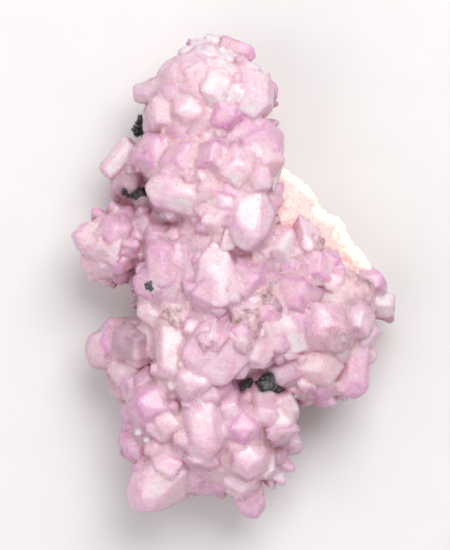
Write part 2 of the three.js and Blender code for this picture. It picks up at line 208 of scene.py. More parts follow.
def distance_to_path(points, path):
    """How far points lie from a path of straight legs."""
    best = np.full(len(points), 1e9)
    for a, b in zip(path[:-1], path[1:]):
        leg = b - a
        share = np.clip((points - a) @ leg / (leg @ leg), 0, 1)
        best = np.minimum(best, np.linalg.norm(points - a - share[:, None] * leg, axis=1))
    return best


spot = points_of(matrix.data)
from_edge = distance_to_path(spot[:, :2], LEDGE_EDGE) + 0.7 * ripple(spot, 5, seed=9)
float_attribute(matrix.data, "painted_rim_highlight", np.clip((RIM_HIGHLIGHT_WIDTH - from_edge) / RIM_HIGHLIGHT_FADE, 0, 1))


def node_group(name, inputs, outputs):
    """A shader node group with float inputs (name: default) and outputs (name: kind)."""
    tree = bpy.data.node_groups.new(name, "ShaderNodeTree")
    for label, default in inputs.items():
        socket = tree.interface.new_socket(label, in_out="INPUT", socket_type="NodeSocketFloat")
        socket.default_value = default
    for label, kind in outputs.items():
        tree.interface.new_socket(label, in_out="OUTPUT", socket_type=kind)
    return tree, tree.nodes.new("NodeGroupInput"), tree.nodes.new("NodeGroupOutput")


def set_inputs(tree, made, values):
    """Gives a node's inputs their values, or links them to the sockets given instead."""
    for key, value in values.items():
        if isinstance(value, bpy.types.NodeSocket):
            tree.links.new(value, made.inputs[key])
        else:
            made.inputs[key].default_value = value


def node(tree, kind, inputs=None, **settings):
    """A shader node with its settings and inputs."""
    made = tree.nodes.new("ShaderNode" + kind)
    for key, value in settings.items():
        setattr(made, key, value)
    set_inputs(tree, made, inputs or {})
    return made


def mixed(tree, share, first, second):
    """Two colours mixed by a share."""
    return node(tree, "Mix", {0: share, 6: first, 7: second}, data_type="RGBA").outputs[2]


def calculated(tree, operation, first, second=0.0):
    """The result of a Math node."""
    return node(tree, "Math", {0: first, 1: second}, operation=operation).outputs[0]


def noise(tree, where, scale, detail, roughness=0.5):
    """Fractal noise over a place, about 0.5 on average."""
    values = {"Vector": where, "Scale": scale, "Detail": detail, "Roughness": roughness}
    return node(tree, "TexNoise", values).outputs["Fac"]


def bumped(tree, strength, distance, height, **normal):
    """The normal of a surface with a height laid on it."""
    values = {"Strength": strength, "Distance": distance, "Height": height, **normal}
    return node(tree, "Bump", values).outputs["Normal"]


def ranged(tree, value, low, high, to_low=0.0, to_high=1.0):
    """A value's range carried over to another range, and held inside it."""
    inputs = {"Value": value, "From Min": low, "From Max": high, "To Min": to_low, "To Max": to_high}
    return node(tree, "MapRange", inputs).outputs["Result"]


def mineral_grain():
    """Fine sugar-like grain: mottling of the colour, patchy roughness and a bump normal."""
    inputs = {"Grains per metre": 900.0, "Bump": 0.4, "Smoothest": 0.3, "Roughest": 0.6}
    outputs = {"Mottle": "NodeSocketFloat", "Roughness": "NodeSocketFloat", "Normal": "NodeSocketVector"}
    tree, given, out = node_group("Mineral grain", inputs, outputs)
    where = node(tree, "TexCoord").outputs["Object"]
    fine = noise(tree, where, given.outputs["Grains per metre"], 4.0, 0.62)
    broad = noise(tree, where, 190.0, 3.0)
    cells = node(tree, "TexVoronoi", {"Vector": where, "Scale": given.outputs["Grains per metre"]})
    height = calculated(tree, "ADD", fine, cells.outputs["Distance"])
    rough = ranged(tree, broad, 0.35, 0.65, given.outputs["Smoothest"], given.outputs["Roughest"])
    set_inputs(tree, out, {
        "Mottle": ranged(tree, calculated(tree, "MULTIPLY", fine, broad), 0.12, 0.42),
        "Roughness": rough,
        "Normal": bumped(tree, given.outputs["Bump"], 0.0004, height),
    })
    return tree


GRAIN = mineral_grain()


def new_material(name):
    """A material, its node tree and its surface shader."""
    material = bpy.data.materials.new(name)
    material.use_nodes = True
    return material, material.node_tree, material.node_tree.nodes["Principled BSDF"]


def attribute(tree, name):
    """A value kept at a mesh's points."""
    return node(tree, "Attribute", attribute_name=name).outputs["Fac"]


PEACH = ((0.82, 0.49, 0.47, 1), (0.93, 0.66, 0.63, 1))
# The white is a painted highlight along the ledge's broken rim.
RIM_HIGHLIGHT_WHITE = ((0.84, 0.76, 0.66, 1), (0.95, 0.90, 0.82, 1))
CALCITE_IOR = 1.55


def massive_calcite_material():
    """Sugary calcite, peach, whitened along the ledge's broken rim by a painted highlight."""
    material, tree, surface = new_material("massive_calcite")
    grain = node(tree, "Group", {
        "Grains per metre": 700.0, "Bump": 0.5, "Smoothest": 0.45, "Roughest": 0.75,
    }, node_tree=GRAIN)
    peach, white = (mixed(tree, grain.outputs["Mottle"], *pair) for pair in (PEACH, RIM_HIGHLIGHT_WHITE))
    set_inputs(tree, surface, {
        "Base Color": mixed(tree, attribute(tree, "painted_rim_highlight"), peach, white),
        "Roughness": grain.outputs["Roughness"],
        "Normal": grain.outputs["Normal"],
        "Subsurface Weight": 0.6,
        "Subsurface Radius": (1.0, 0.6, 0.5),
        "Subsurface Scale": 0.003,
        "IOR": CALCITE_IOR,
    })
    return material


matrix.data.materials.append(massive_calcite_material())
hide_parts("massive_calcite_matrix")
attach(matrix, "root")

# ---------------------------------------------------------------- Pink calcite crystals
# One crust of pale pink calcite crystals that grew into each other. They are blunt, with curved
# faces: a milky pink heart inside a clearer lilac outer zone. They stand on the massive calcite.

# Each habit: how its sides taper and its end faces slope, in degrees, how much of its tip is cut
# off blunt, as a share of its width, and how sharp its edges are.
HABITS = {
    "rhomb": {"taper": 10, "slope": 39, "blunt": 0, "rounding": 36},
    "nail": {"taper": 5, "slope": 28, "blunt": 0, "rounding": 30},
    "tooth": {"taper": 16, "slope": 60, "blunt": 0, "rounding": 36},
    "dome": {"taper": 13, "slope": 38, "blunt": 0.09, "rounding": 24},
    "low": {"taper": 8, "slope": 23, "blunt": 0, "rounding": 30},
    "disc": {"taper": 6, "slope": 20, "blunt": 0.12, "rounding": 15},
    "egg": {"taper": 3, "slope": 44, "blunt": 0.03, "rounding": 24},
}
# The lean of the faces that round an egg-shaped crystal's shoulder and foot, and half the angle
# between the two faces of one side, in degrees. Narrow crystals have one face to a side.
EGG_SHOULDER, EGG_FOOT = 66, 130
FACE_SPREAD = 25
SINGLE_SIDED = 5.6
# A crystal is widest just below its head, by this share of its width and at this level.
SHOULDER, SHOULDER_LEVEL = 1.08, 0.12
# How softly the paint turns from face to face, and how wide its zone along an edge is.
FACE_BLEND, EDGE_ZONE = 24, 0.45
# The unevenness of the faces, as a share of the crystal and in millimetres: clear and frosted.
FACE_UNEVEN = 0.008
SWELL, FROSTING_SWELL = 0.015, 0.05
# The rounded foot's size to the crystal's width, the least width that has one, and the least
# width that has a finer mesh.
ROOT_SIZE = 0.42
ROOTED_WIDTH = 5
FINE_WIDTH = 12

# Each crystal: tip x, y, z; heading; tilt; length; width; habit; turn about its axis; tint.
TOP_LOBE = [
    (-5, 60.8, 19, 88, -20, 11, 6.5, "nail", 20, "snowy"),
    (-9.4, 59.9, 20, 108, -18, 11, 6.2, "rhomb", 10, "snowy"),
    (-12.9, 57.4, 20, 128, -20, 11, 6.2, "nail", 40, "white"),
    (-2.5, 60.2, 17, 75, -15, 9, 4.5, "rhomb", 0, "snowy"),
    (5.5, 55.4, 22, 348, 5, 9, 5.6, "rhomb", 0, "lilac"),
    (-7.5, 56.3, 28, 100, 45, 10, 9, "low", 0, "snowy"),
    (-1.5, 55.5, 28.5, 70, 45, 10, 8.5, "low", 30, "snowy"),
    (-5, 50.8, 33.5, 90, 75, 10, 10, "nail", 20, "white"),
    (-0.3, 50.5, 33.5, 40, 65, 10, 8, "rhomb", 0, "white"),
    (-3.8, 45.2, 36, 270, 75, 10, 10, "dome", 20, "white"),
    (-12.5, 53.2, 30, 130, 50, 10, 10, "low", 0, "frosted"),
    (-15.5, 48.7, 29.5, 190, 55, 10, 10, "low", 30, "pink"),
    (-9.8, 48.2, 33, 200, 70, 10, 10, "low", 60, "frosted"),
    (-18.8, 52, 20, 150, -15, 10, 7, "nail", 10, "frosted"),
    (-15.8, 55, 20, 125, -15, 10, 6, "nail", 30, "frosted"),
    (-25.1, 46, 19, 185, -15, 10, 6.8, "dome", 0, "beige"),
    (-19.2, 38.6, 29.5, 215, 50, 12, 10.9, "rhomb", 15, "pink"),
    (-11.4, 38.8, 33, 262, 55, 12, 10.3, "dome", 0, "frosted"),
    (-2, 37.2, 35, 265, 45, 12, 10, "dome", 30, "lilac"),
    (4.8, 39.3, 33.5, 278, 38, 10.5, 10.2, "rhomb", 0, "glowing"),
    (8, 43.2, 32.5, 330, 50, 9, 6, "rhomb", 25, "pink"),
    (5.3, 50.5, 32.5, 10, 60, 9, 7, "rhomb", 30, "white"),
    (7.3, 51.8, 19, 35, 0, 8, 4.5, "tooth", 0, "grey"),
    (11, 47.6, 21, 15, -10, 9, 6, "nail", 40, "mauve"),
    (11.3, 43.5, 17, 350, 0, 8, 4, "rhomb", 0, "grey"),
    (11.4, 39.3, 17, 20, 0, 9, 4.5, "rhomb", 0, "grey"),
    (-16.8, 43.8, 29.5, 230, 50, 10, 8.5, "nail", 10, "mauve"),
    (0.8, 45.2, 35.5, 0, 80, 9, 6.84, "low", 0, "white"),
]
UPPER_BAND = [
    (-21.3, 30.2, 30, 185, 62, 14, 12.5, "dome", 0, "lilac"),
    (-14, 29.2, 35.5, 150, 72, 12, 11.5, "rhomb", 30, "lilac"),
    (-6.3, 28.8, 38, 200, 72, 12, 10, "rhomb", 0, "mauve"),
    (0.8, 28.6, 38.8, 75, 72, 13, 11.4, "dome", 20, "frosted"),
    (7.2, 36.4, 34.8, 70, 60, 13, 11.5, "rhomb", 10, "lilac"),
    (8.2, 28.5, 36.5, 330, 68, 12, 11.5, "rhomb", 30, "glowing"),
    (12.3, 34, 25, 350, 0, 10, 7.2, "rhomb", 0, "brown"),
    (12.3, 29, 23, 345, 0, 10, 7.2, "rhomb", 50, "white"),
    (-3.8, 34.5, 34.5, 240, 65, 8, 5, "rhomb", 0, "dusky"),
    (-8.5, 35, 32.5, 260, 60, 9, 7.98, "low", 20, "dusk"),
    (-14.2, 34.5, 31, 230, 60, 9, 7.98, "low", 0, "mauve"),
    (1.2, 35.2, 33.5, 0, 75, 9, 7.41, "low", 0, "pink"),
    (6.8, 21.8, 37.8, 285, 50, 9, 6.5, "rhomb", 60, "glowing"),
    (9.8, 21.5, 31, 278, 25, 9, 3, "tooth", 0, "milky"),
    (-0.4, 21.2, 34.5, 352, 15, 8, 6.5, "rhomb", 60, "mauve"),
    (-21.9, 22.6, 31.5, 168, 8, 18, 10.6, "egg", 0, "glowing"),
    (-18.2, 26.6, 33, 160, 25, 7, 4.5, "rhomb", 0, "lilac"),
    (-3, 17.5, 37, 230, 70, 8, 6.84, "low", 0, "glowing"),
    (-4.5, 12.8, 36.5, 260, 65, 9, 8.55, "nail", 30, "glowing"),
    (3.2, 6.5, 35, 267, 16, 18, 10.6, "egg", 30, "glowing"),
    (9.5, 13.5, 31, 290, 30, 10, 5, "tooth", 20, "mauve"),
]
LEFT_SPUR = [
    (-27.3, 35, 14, 78, -5, 10, 5, "nail", 0, "dusk"),
    (-32.6, 25.6, 16, 226, -8, 11, 6, "nail", 20, "milky"),
    (-31.4, 21, 10, 190, 5, 12, 6, "nail", 10, "grey"),
    (-28.5, 23.8, 17.5, 215, 60, 9, 9, "low", 0, "grey"),
    (-25.3, 28.7, 24.5, 210, 40, 9, 6.5, "rhomb", 0, "lilac"),
    (-24, 26.4, 24, 240, 35, 8, 4, "tooth", 0, "milky"),
    (-35.6, 17.4, 18, 135, 10, 10, 5.5, "nail", 20, "mauve"),
    (-30.5, 19.5, 17, 95, 5, 9, 5, "rhomb", 0, "mauve"),
    (-26.2, 17.2, 20, 70, 40, 10, 6.5, "dome", 0, "mauve"),
    (-29.4, 12.8, 27, 95, 70, 12, 10.3, "dome", 30, "mauve"),
    (-40.8, 10.8, 19, 170, -12, 14, 9, "rhomb", 60, "frosted"),
    (-38.6, 3.5, 17, 195, -12, 12, 8, "rhomb", 0, "frosted"),
    (-34, 8, 25.8, 190, 72, 11, 9.69, "nail", 15, "beige"),
    (-26, 6.8, 25.5, 320, 72, 9, 7.41, "dome", 0, "mauve"),
    (-28.6, 3.1, 24.8, 280, 70, 9, 7.41, "dome", 0, "mauve"),
    (-36.8, -0.4, 15, 225, -5, 11, 6, "rhomb", 30, "frosted"),
    (-33, -2, 16, 250, -10, 11, 6, "rhomb", 0, "frosted"),
    (-30.5, -2.7, 12, 268, -5, 9, 4.5, "rhomb", 0, "grey"),
    (-33.2, 2.8, 23.5, 225, 62, 10, 9.12, "nail", 20, "beige"),
    (-25.2, 0.8, 18, 350, 10, 10, 5, "rhomb", 0, "lilac"),
    (-26.2, -1.6, 11, 305, 8, 9, 3.5, "rhomb", 0, "grey"),
    (-28.8, -1.2, 19, 265, 20, 9, 6, "dome", 0, "mauve"),
    (-24, 13.6, 24, 175, 40, 10, 6.5, "nail", 0, "pink"),
    (-22.6, 11.3, 25, 172, 18, 12, 6.5, "nail", 0, "mauve"),
    (-29.5, 18, 20, 100, 50, 9, 4.6, "rhomb", 0, "milky"),
    (-34.5, 13.2, 22, 140, 45, 9, 7, "low", 0, "frosted"),
    (-23.2, 17.6, 17.5, 210, 60, 9, 7, "low", 0, "grey"),
]
MIDDLE = [
    (-18.6, 9.7, 31, 100, 12, 11, 8.4, "rhomb", 0, "lilac"),
    (-25, 0.2, 29, 160, 10, 12, 8.6, "rhomb", 0, "lilac"),
    (-24, -6.2, 27.5, 150, 5, 13, 8, "rhomb", 0, "pink"),
    (-26, -3.2, 14, 150, 8, 8, 3.5, "rhomb", 0, "grey"),
    (-26.1, -7, 12, 190, 8, 9, 4, "rhomb", 20, "grey"),
    (-17.5, -9.5, 33.5, 185, 55, 11, 9.5, "rhomb", 10, "brown"),
    (-15.4, -25.5, 31.5, 268, 12, 13, 9, "nail", 30, "glowing"),
    (-15.6, -27.6, 32.5, 240, 50, 8, 5, "rhomb", 0, "glowing"),
    (-10.5, -27.5, 36, 250, 62, 12, 11.5, "dome", 0, "glowing"),
    (-12.4, 11, 29.5, 96, 8, 18, 8, "rhomb", 0, "dusk"),
    (-9.4, 11.3, 30, 90, 8, 18, 7, "rhomb", 60, "dusk"),
    (-5.2, 9.4, 34.5, 97, 13, 15, 9.4, "tooth", 0, "frosted"),
    (-6, -6.5, 38.6, 255, 65, 12, 11.5, "nail", 20, "mauve"),
    (-12.5, -5.5, 33, 240, 70, 10, 9.5, "low", 0, "dusky"),
    (-17.5, -4, 33.5, 200, 70, 10, 8.5, "low", 0, "dusk"),
    (4, 3.5, 31.5, 265, 75, 10, 9.69, "nail", 0, "pink"),
    (2.2, -4, 37.5, 255, 68, 11, 10.8, "rhomb", 30, "mauve"),
    (7.6, -3, 36, 65, 62, 11, 9.5, "rhomb", 0, "brown"),
    (10, -8.6, 35.5, 300, 60, 9, 6.84, "dome", 0, "dusky"),
]
RIGHT_LOBE = [
    (11.5, 7.2, 32, 290, 84, 12, 10.8, "rhomb", 10, "milky"),
    (18.7, 6.5, 32, 285, 45, 9, 5.1, "rhomb", 0, "milky"),
    (22.4, 9.4, 30.5, 25, 28, 11, 6.2, "rhomb", 0, "brown"),
    (20.6, 1.6, 32.5, 290, 78, 13, 10.5, "rhomb", 30, "lilac"),
    (25.4, 4.5, 30, 20, 50, 8, 6.5, "rhomb", 0, "lilac"),
    (27.9, 0.6, 28.5, 340, 30, 9, 6, "rhomb", 0, "mauve"),
    (25.6, -2.6, 30, 300, 60, 9, 7.41, "dome", 0, "glowing"),
    (15.6, -6.2, 34.5, 280, 76, 14, 13, "dome", 30, "mauve"),
    (34.3, -1, 26, 32, 8, 15, 10.5, "rhomb", 0, "brown"),
    (37.9, -0.3, 18, 12, 0, 11, 6.2, "nail", 20, "lilac"),
    (40.6, -7.2, 15, 350, -10, 12, 7.5, "nail", 0, "white"),
    (31.2, -12, 30.5, 310, 68, 12, 9.5, "rhomb", 0, "glowing"),
    (35.4, -13.4, 24, 0, 45, 12, 9.5, "rhomb", 0, "glowing"),
    (35.6, -15, 14, 356, -5, 11, 6.5, "dome", 0, "mauve"),
    (35.9, -20.4, 18, 335, 0, 11, 6.5, "rhomb", 0, "pink"),
    (29.4, -15.6, 32, 333, 15, 15, 11.6, "egg", 20, "tan"),
    (19.5, -11, 35.5, 160, 75, 13, 9, "nail", 20, "mauve"),
    (21, -23.4, 31, 268, 66, 11, 11.4, "nail", 30, "pink"),
    (30.4, -29.8, 23, 280, 18, 13, 9.6, "dome", 0, "lilac"),
    (22.9, -32.6, 20, 280, 5, 12, 6.5, "rhomb", 30, "lilac"),
    (18.2, -32.1, 19, 262, 5, 11, 6.5, "rhomb", 0, "milky"),
    (24.9, -32.3, 21, 290, 10, 9, 4.5, "rhomb", 0, "frosted"),
    (28, -30.8, 18, 280, 5, 11, 6, "rhomb", 0, "pink"),
    (16.8, -28.6, 25, 290, 50, 12, 9.01, "dome", 0, "glowing"),
    (21.8, -28.8, 26, 270, 50, 11, 9.01, "dome", 0, "lilac"),
    (18.6, -17.8, 31.5, 325, 12, 12, 8.5, "tooth", 10, "milky"),
    (11.8, -13.8, 35, 40, 70, 10, 9.5, "nail", 0, "mauve"),
    (11.8, -10.3, 34.5, 60, 50, 7, 4.0, "rhomb", 0, "dusky"),
    (26.5, -19.5, 30, 300, 60, 9, 6.84, "rhomb", 0, "milky"),
]
CENTRE = [
    (-5, -19.4, 37.5, 280, 78, 12, 17.1, "disc", 10, "rosy"),
    (-8, -13.7, 39.8, 100, 55, 7, 4.0, "rhomb", 0, "grey"),
    (-5.8, -15.2, 40.8, 250, 60, 7, 3.6, "rhomb", 20, "milky"),
    (-2.4, -13.4, 40.2, 70, 55, 7, 4.0, "rhomb", 0, "lilac"),
    (1.5, -23, 34.5, 300, 60, 9, 7.41, "dome", 0, "frosted"),
    (5.6, -20.3, 35.5, 272, 60, 10, 8.3, "nail", 30, "frosted"),
    (2.2, -17, 38.5, 290, 65, 10, 6.2, "dome", 0, "beige"),
    (4.5, -9.6, 37.3, 40, 72, 13, 12.5, "dome", 0, "brown"),
    (7.2, -14.2, 36, 310, 55, 8, 5, "rhomb", 0, "milky"),
    (7.2, -22.6, 32, 262, 28, 7, 4.6, "rhomb", 0, "grey"),
    (15.3, -24.6, 29.5, 320, 60, 10, 8.6, "rhomb", 20, "grey"),
]
LOWER_LOBE = [
    (-6.7, -45.9, 31, 276, 10, 18, 10.8, "egg", 30, "rosy"),
    (-4.3, -46.6, 29, 262, 20, 13, 5.5, "dome", 0, "lilac"),
    (-3.8, -29.5, 33, 290, 66, 12, 9.6, "rhomb", 0, "lilac"),
    (3.8, -32.2, 27, 275, 60, 8, 6.8, "nail", 0, "mauve"),
    (2, -38.8, 33.5, 272, 70, 12, 10.3, "dome", 0, "lilac"),
    (3.4, -46.6, 32, 268, 66, 12, 10.3, "dome", 0, "glowing"),
    (7.8, -35, 32, 280, 66, 12, 7.98, "dome", 20, "glowing"),
    (8, -49.5, 26, 280, 40, 14, 7, "rhomb", 0, "white"),
    (10.3, -38, 30, 262, 60, 12, 9.8, "nail", 0, "white"),
    (13.2, -33.6, 28, 330, 60, 11, 9.2, "nail", 30, "milky"),
    (16.4, -32.6, 22, 20, 0, 9, 6, "rhomb", 0, "frosted"),
    (15.2, -37, 22, 350, 0, 10, 7, "rhomb", 0, "frosted"),
    (17.5, -42.2, 17, 355, 0, 11, 6, "rhomb", 0, "grey"),
    (15.4, -48, 19, 335, 0, 13, 5.5, "rhomb", 0, "glowing"),
    (12.9, -51.7, 19, 312, 0, 14, 5.5, "rhomb", 30, "glowing"),
    (9.9, -53, 18, 288, 5, 12, 5, "rhomb", 0, "glowing"),
    (5.8, -60.5, 16, 290, -6, 14, 8, "rhomb", 60, "mauve"),
    (1.8, -53.6, 25.5, 275, 50, 11, 9.69, "rhomb", 0, "frosted"),
    (-3, -55.9, 14, 275, 0, 10, 5, "rhomb", 0, "mauve"),
    (-7.5, -54.6, 19, 265, 5, 12, 11, "low", 0, "mauve"),
    (-12.2, -55.8, 16, 258, 0, 9, 6, "rhomb", 0, "pink"),
    (-15.2, -56.5, 17, 250, 0, 9, 6, "rhomb", 30, "pink"),
    (-25.7, -57.8, 19.5, 226, -8, 21, 12.4, "egg", 30, "rosy"),
    (-25.6, -49.8, 20, 205, 0, 12, 7.5, "rhomb", 0, "mauve"),
    (-29.3, -40.8, 20, 185, 10, 13, 7, "rhomb", 0, "mauve"),
    (-26, -44.5, 22, 220, 45, 11, 7.5, "dome", 0, "mauve"),
    (-28.8, -44.3, 14, 200, 5, 9, 5.5, "rhomb", 0, "grey"),
    (-21.3, -33.8, 31, 250, 66, 12, 11.4, "dome", 0, "lilac"),
    (-28.5, -33.5, 20, 180, 10, 12, 7.5, "rhomb", 0, "lilac"),
    (-28.3, -37, 19, 188, 5, 10, 6, "rhomb", 20, "lilac"),
    (-16.6, -38, 31, 255, 66, 12, 9.69, "dome", 0, "pink"),
    (-24.4, -38.8, 27, 215, 45, 8, 4, "rhomb", 0, "white"),
    (-22, -40.8, 27, 235, 45, 8, 4, "rhomb", 0, "white"),
    (-16.5, -44, 28.5, 100, 60, 10, 9.5, "low", 0, "pink"),
    (-8.5, -49.5, 26, 270, 72, 12, 9.5, "low", 0, "mauve"),
]
LOWER_LEFT = [
    (-24.4, -10.2, 22.5, 92, 10, 9, 12, "nail", 0, "dusky"),
    (-37.4, -18.4, 15, 185, 5, 13, 11.2, "dome", 0, "beige"),
    (-31, -12.3, 16, 100, 15, 9, 3.2, "tooth", 0, "grey"),
    (-27.4, -9.6, 11, 85, 8, 8, 3, "rhomb", 0, "grey"),
    (-31.2, -18.5, 21, 240, 60, 10, 8.2, "dome", 0, "lilac"),
    (-27.8, -24, 23, 250, 62, 10, 9.12, "nail", 0, "frosted"),
    (-31.6, -26.5, 16, 200, 5, 11, 7, "dome", 0, "grey"),
    (-28.3, -30.3, 18, 225, 5, 10, 6.5, "rhomb", 0, "mauve"),
    (-21.4, -24, 27, 100, 60, 11, 8.55, "rhomb", 0, "lilac"),
    (-23.5, -19.4, 26.5, 270, 66, 10, 9.12, "nail", 0, "pink"),
    (-25.5, -28.6, 23, 240, 62, 11, 9.69, "dome", 0, "mauve"),
]
FRONT = TOP_LOBE + UPPER_BAND + LEFT_SPUR + MIDDLE + RIGHT_LOBE + CENTRE + LOWER_LOBE + LOWER_LEFT

# Calcite behind the crystals, as ellipsoids: centre x, y, z and radii x, y, z.
CORE = [
    (-6, 46, 18, 12, 11, 16), (-5, 30, 18, 16, 11, 16.5), (-28, 9, 13, 8.5, 8.5, 11),
    (-24, 25, 9, 6.5, 8.5, 7), (-20.5, 8, 12.5, 6, 9, 10.5), (-3, 10, 18, 13.5, 12, 16),
    (20, -8, 16, 14, 16, 13.5), (-3, -14, 18, 18, 12, 17), (7, -28, 14.5, 9.5, 9.5, 10),
    (-7, -42, 16, 15.5, 11.5, 13.5),
    (-24, -23, 11, 8.5, 10.5, 9), (-18.5, 39, 16, 4.5, 6.5, 9),
]

# How much each tint has of: lilac rim, milky frosting, grey smoke, brown stain at the tip.
# Some of the smoke is painted shade and some of the milk painted light, as noted below.
TINTS = {
    "pink": (0.0, 0.1, 0.0, 0.0),
    "lilac": (0.22, 0.0, 0.0, 0.0),
    "mauve": (0.2, 0.0, 0.16, 0.0),
    "frosted": (0.0, 0.4, 0.0, 0.0),
    # Painted light: this tint whitens crystals to a glow.
    "glowing": (0.04, 0.65, 0.0, 0.0),
    "milky": (-0.1, 0.75, 0.0, 0.0),
    "white": (-0.35, 1.5, 0.0, 0.0),
    "snowy": (-0.6, 3.2, 0.0, 0.0),
    # Painted shade: this grey smoke darkens crystals that lie in shadow.
    "grey": (0.05, 0.0, 0.45, 0.0),
    "brown": (0.0, 0.1, 0.0, 1.3),
    "beige": (-0.2, 0.4, 0.3, 0.0),
    # Painted shade: these two darken crystals that lie in shaded grooves with grey smoke.
    "dusky": (-0.1, -0.3, 0.8, 0.0),
    "dusk": (0.1, -0.2, 0.4, 0.0),
    "tan": (0.05, 0.1, 0.0, 0.7),
    "rosy": (0.06, 0.2, 0.0, 0.0),
}


def sphere_net(detail):
    """Directions and triangles of a geodesic sphere."""
    net = bmesh.new()
    bmesh.ops.create_icosphere(net, subdivisions=detail, radius=1)
    ways = np.array([v.co[:] for v in net.verts])
    faces = np.array([[v.index for v in f.verts] for f in net.faces])
    net.free()
    return ways / np.linalg.norm(ways, axis=1)[:, None], faces


NETS = {detail: sphere_net(detail) for detail in (2, 3, 4, 5)}


def crystal_frame(heading, tilt):
    """The crystal's own directions: x faces up, y to its side, z runs to the tip."""
    h, t = math.radians(heading), math.radians(tilt)
    axis = np.array([math.cos(t) * math.cos(h), math.cos(t) * math.sin(h), math.sin(t)])
    up = np.array([-math.sin(t) * math.cos(h), -math.sin(t) * math.sin(h), math.cos(t)])
    return np.stack([up, np.cross(axis, up), axis])


def face_way(azimuth, lean):
    """The direction that a face looks in: round the axis, and away from it."""
    a, t = math.radians(azimuth), math.radians(lean)
    return (math.sin(t) * math.cos(a), math.sin(t) * math.sin(a), math.cos(t))


def crystal_faces(row, number):
    """Normals and distances of a crystal's faces from the middle of its axis."""
    length, width, habit, turn = row[5], row[6], HABITS[row[7]], row[8]
    half, blunt, taper = length / 2, habit["blunt"] * width, habit["taper"]
    sides = (0,) if width < SINGLE_SIDED else (-1, 1)
    ways, reaches = [face_way(0, 180)], [half]
    for k in range(3):
        third = turn + 120 * k
        for side in sides:
            bulge = 0.94 + 0.12 * scatter(number, 2 * k + side)
            ways.append(face_way(third + 60 + side * FACE_SPREAD, 90 - taper))
            reaches.append(width / 2 * math.cos(math.radians(taper)) * bulge)
        uneven = 0.97 + 0.06 * scatter(number, 10 + k)
        ways.append(face_way(third, habit["slope"]))
        reaches.append((half + blunt) * uneven * math.cos(math.radians(habit["slope"])))
    if blunt:
        ways.append(face_way(0, 0))
        reaches.append(half)
    if row[7] == "egg":
        for k in range(6):
            ways.append(face_way(turn + 60 * k, EGG_SHOULDER))
            reaches.append((half + 0.62 * width) * math.cos(math.radians(EGG_SHOULDER)))
        for k in range(3):
            ways.append(face_way(turn + 120 * k, EGG_FOOT))
            reaches.append((half + 0.1 * width) * -math.cos(math.radians(EGG_FOOT)))
    return np.array(ways), np.array(reaches)


def crystal_shape(row, number, detail):
    """A crystal with its edges a little rounded: its points, triangles and paint layers."""
    x, y, z, heading, tilt, length, width = row[:7]
    normals, reaches = crystal_faces(row, number)
    ways, faces = NETS[detail]
    ways = ways * (width, width, length)
    ways /= np.linalg.norm(ways, axis=1)[:, None]
    share = np.clip(ways @ normals.T / reaches, 1e-6, None)
    rounding = HABITS[row[7]]["rounding"]
    local = ways / ((share**rounding).sum(axis=1) ** (1 / rounding))[:, None]
    local[:, 2] *= length / 2 / local[:, 2].max()
    head = local[:, 2] > SHOULDER_LEVEL * length
    local[:, :2] *= SHOULDER * width / 2 / np.linalg.norm(local[head, :2], axis=1).max()
    local *= 1 + FACE_UNEVEN * ripple(local, 0.5 * width, seed=number)[:, None]
    height = SWELL + FROSTING_SWELL * max(TINTS[row[9]][1], 0)
    swell = ripple(local, 1.4, seed=number + 500) + 0.6 * ripple(local, 0.8, seed=number + 700)
    local *= 1 + (height * swell / np.linalg.norm(local, axis=1))[:, None]
    turned = crystal_frame(heading, tilt)
    middle = np.array([x, y, z]) - turned[2] * length / 2
    facing = (share ** (FACE_BLEND - 1) / reaches) @ normals
    facing /= np.linalg.norm(facing, axis=1)[:, None]
    nearest = np.sort(share * reaches.mean() / share.max(axis=1)[:, None], axis=1)
    to_edge = (nearest[:, -1] - nearest[:, -2]) / EDGE_ZONE
    layers = paint_layers(row, number, local, (facing @ turned)[:, 2], to_edge)
    return middle + local @ turned, faces, layers


def paint_layers(row, number, local, facing_up, to_edge):
    """Where a crystal is lilac, milky, smoky or stained, point by point, with painted shade on faces turned
    from the top and painted light on faces that look up.
    """
    length, width = row[5], row[6]
    lilac, milk, smoke, stain = TINTS[row[9]]
    from_tip = (length / 2 - local[:, 2]) / width
    near_tip = np.clip(1 - from_tip / 0.9, 0, 1)
    turned_away = np.clip(1.15 - facing_up, 0, 1)
    patchy = 0.5 + 0.5 * ripple(local, 0.5 * width, seed=number + 900)
    edge = np.exp(-(to_edge**2)) * (0.4 + 0.6 * turned_away)
    # The lilac outer zone shows along the edges and near the tip; where a face turns away from the top it is
    # painted deeper, as painted shade.
    strength = 0.3 + 2.2 * max(lilac, 0)
    rim = 0.25 * lilac + strength * (0.85 * turned_away**1.3 + 1.5 * edge + 0.35 * near_tip) - 0.08
    # Painted light: faces that look up are a little paler.
    heart = 0.2 * (1 - edge) * np.clip(facing_up, 0, 1)
    # Painted shade: faces turned away from the top lose milk and look darker.
    milk *= (0.6 + 0.8 * patchy) * (1 - 0.6 * edge) * (1 - 0.8 * turned_away)
    return {
        "rim": np.clip(rim, 0, 1),
        "milk": np.clip(milk + heart, 0, 2),
        "smoke": np.clip(smoke * (0.4 + 0.8 * patchy), 0, 1),
        "stain": np.clip(stain * (1.5 * near_tip - 0.45 + 0.4 * patchy), 0, 1),
        "along": (local[:, 2] + 3 * scatter(number, 78)) * MM,
    }


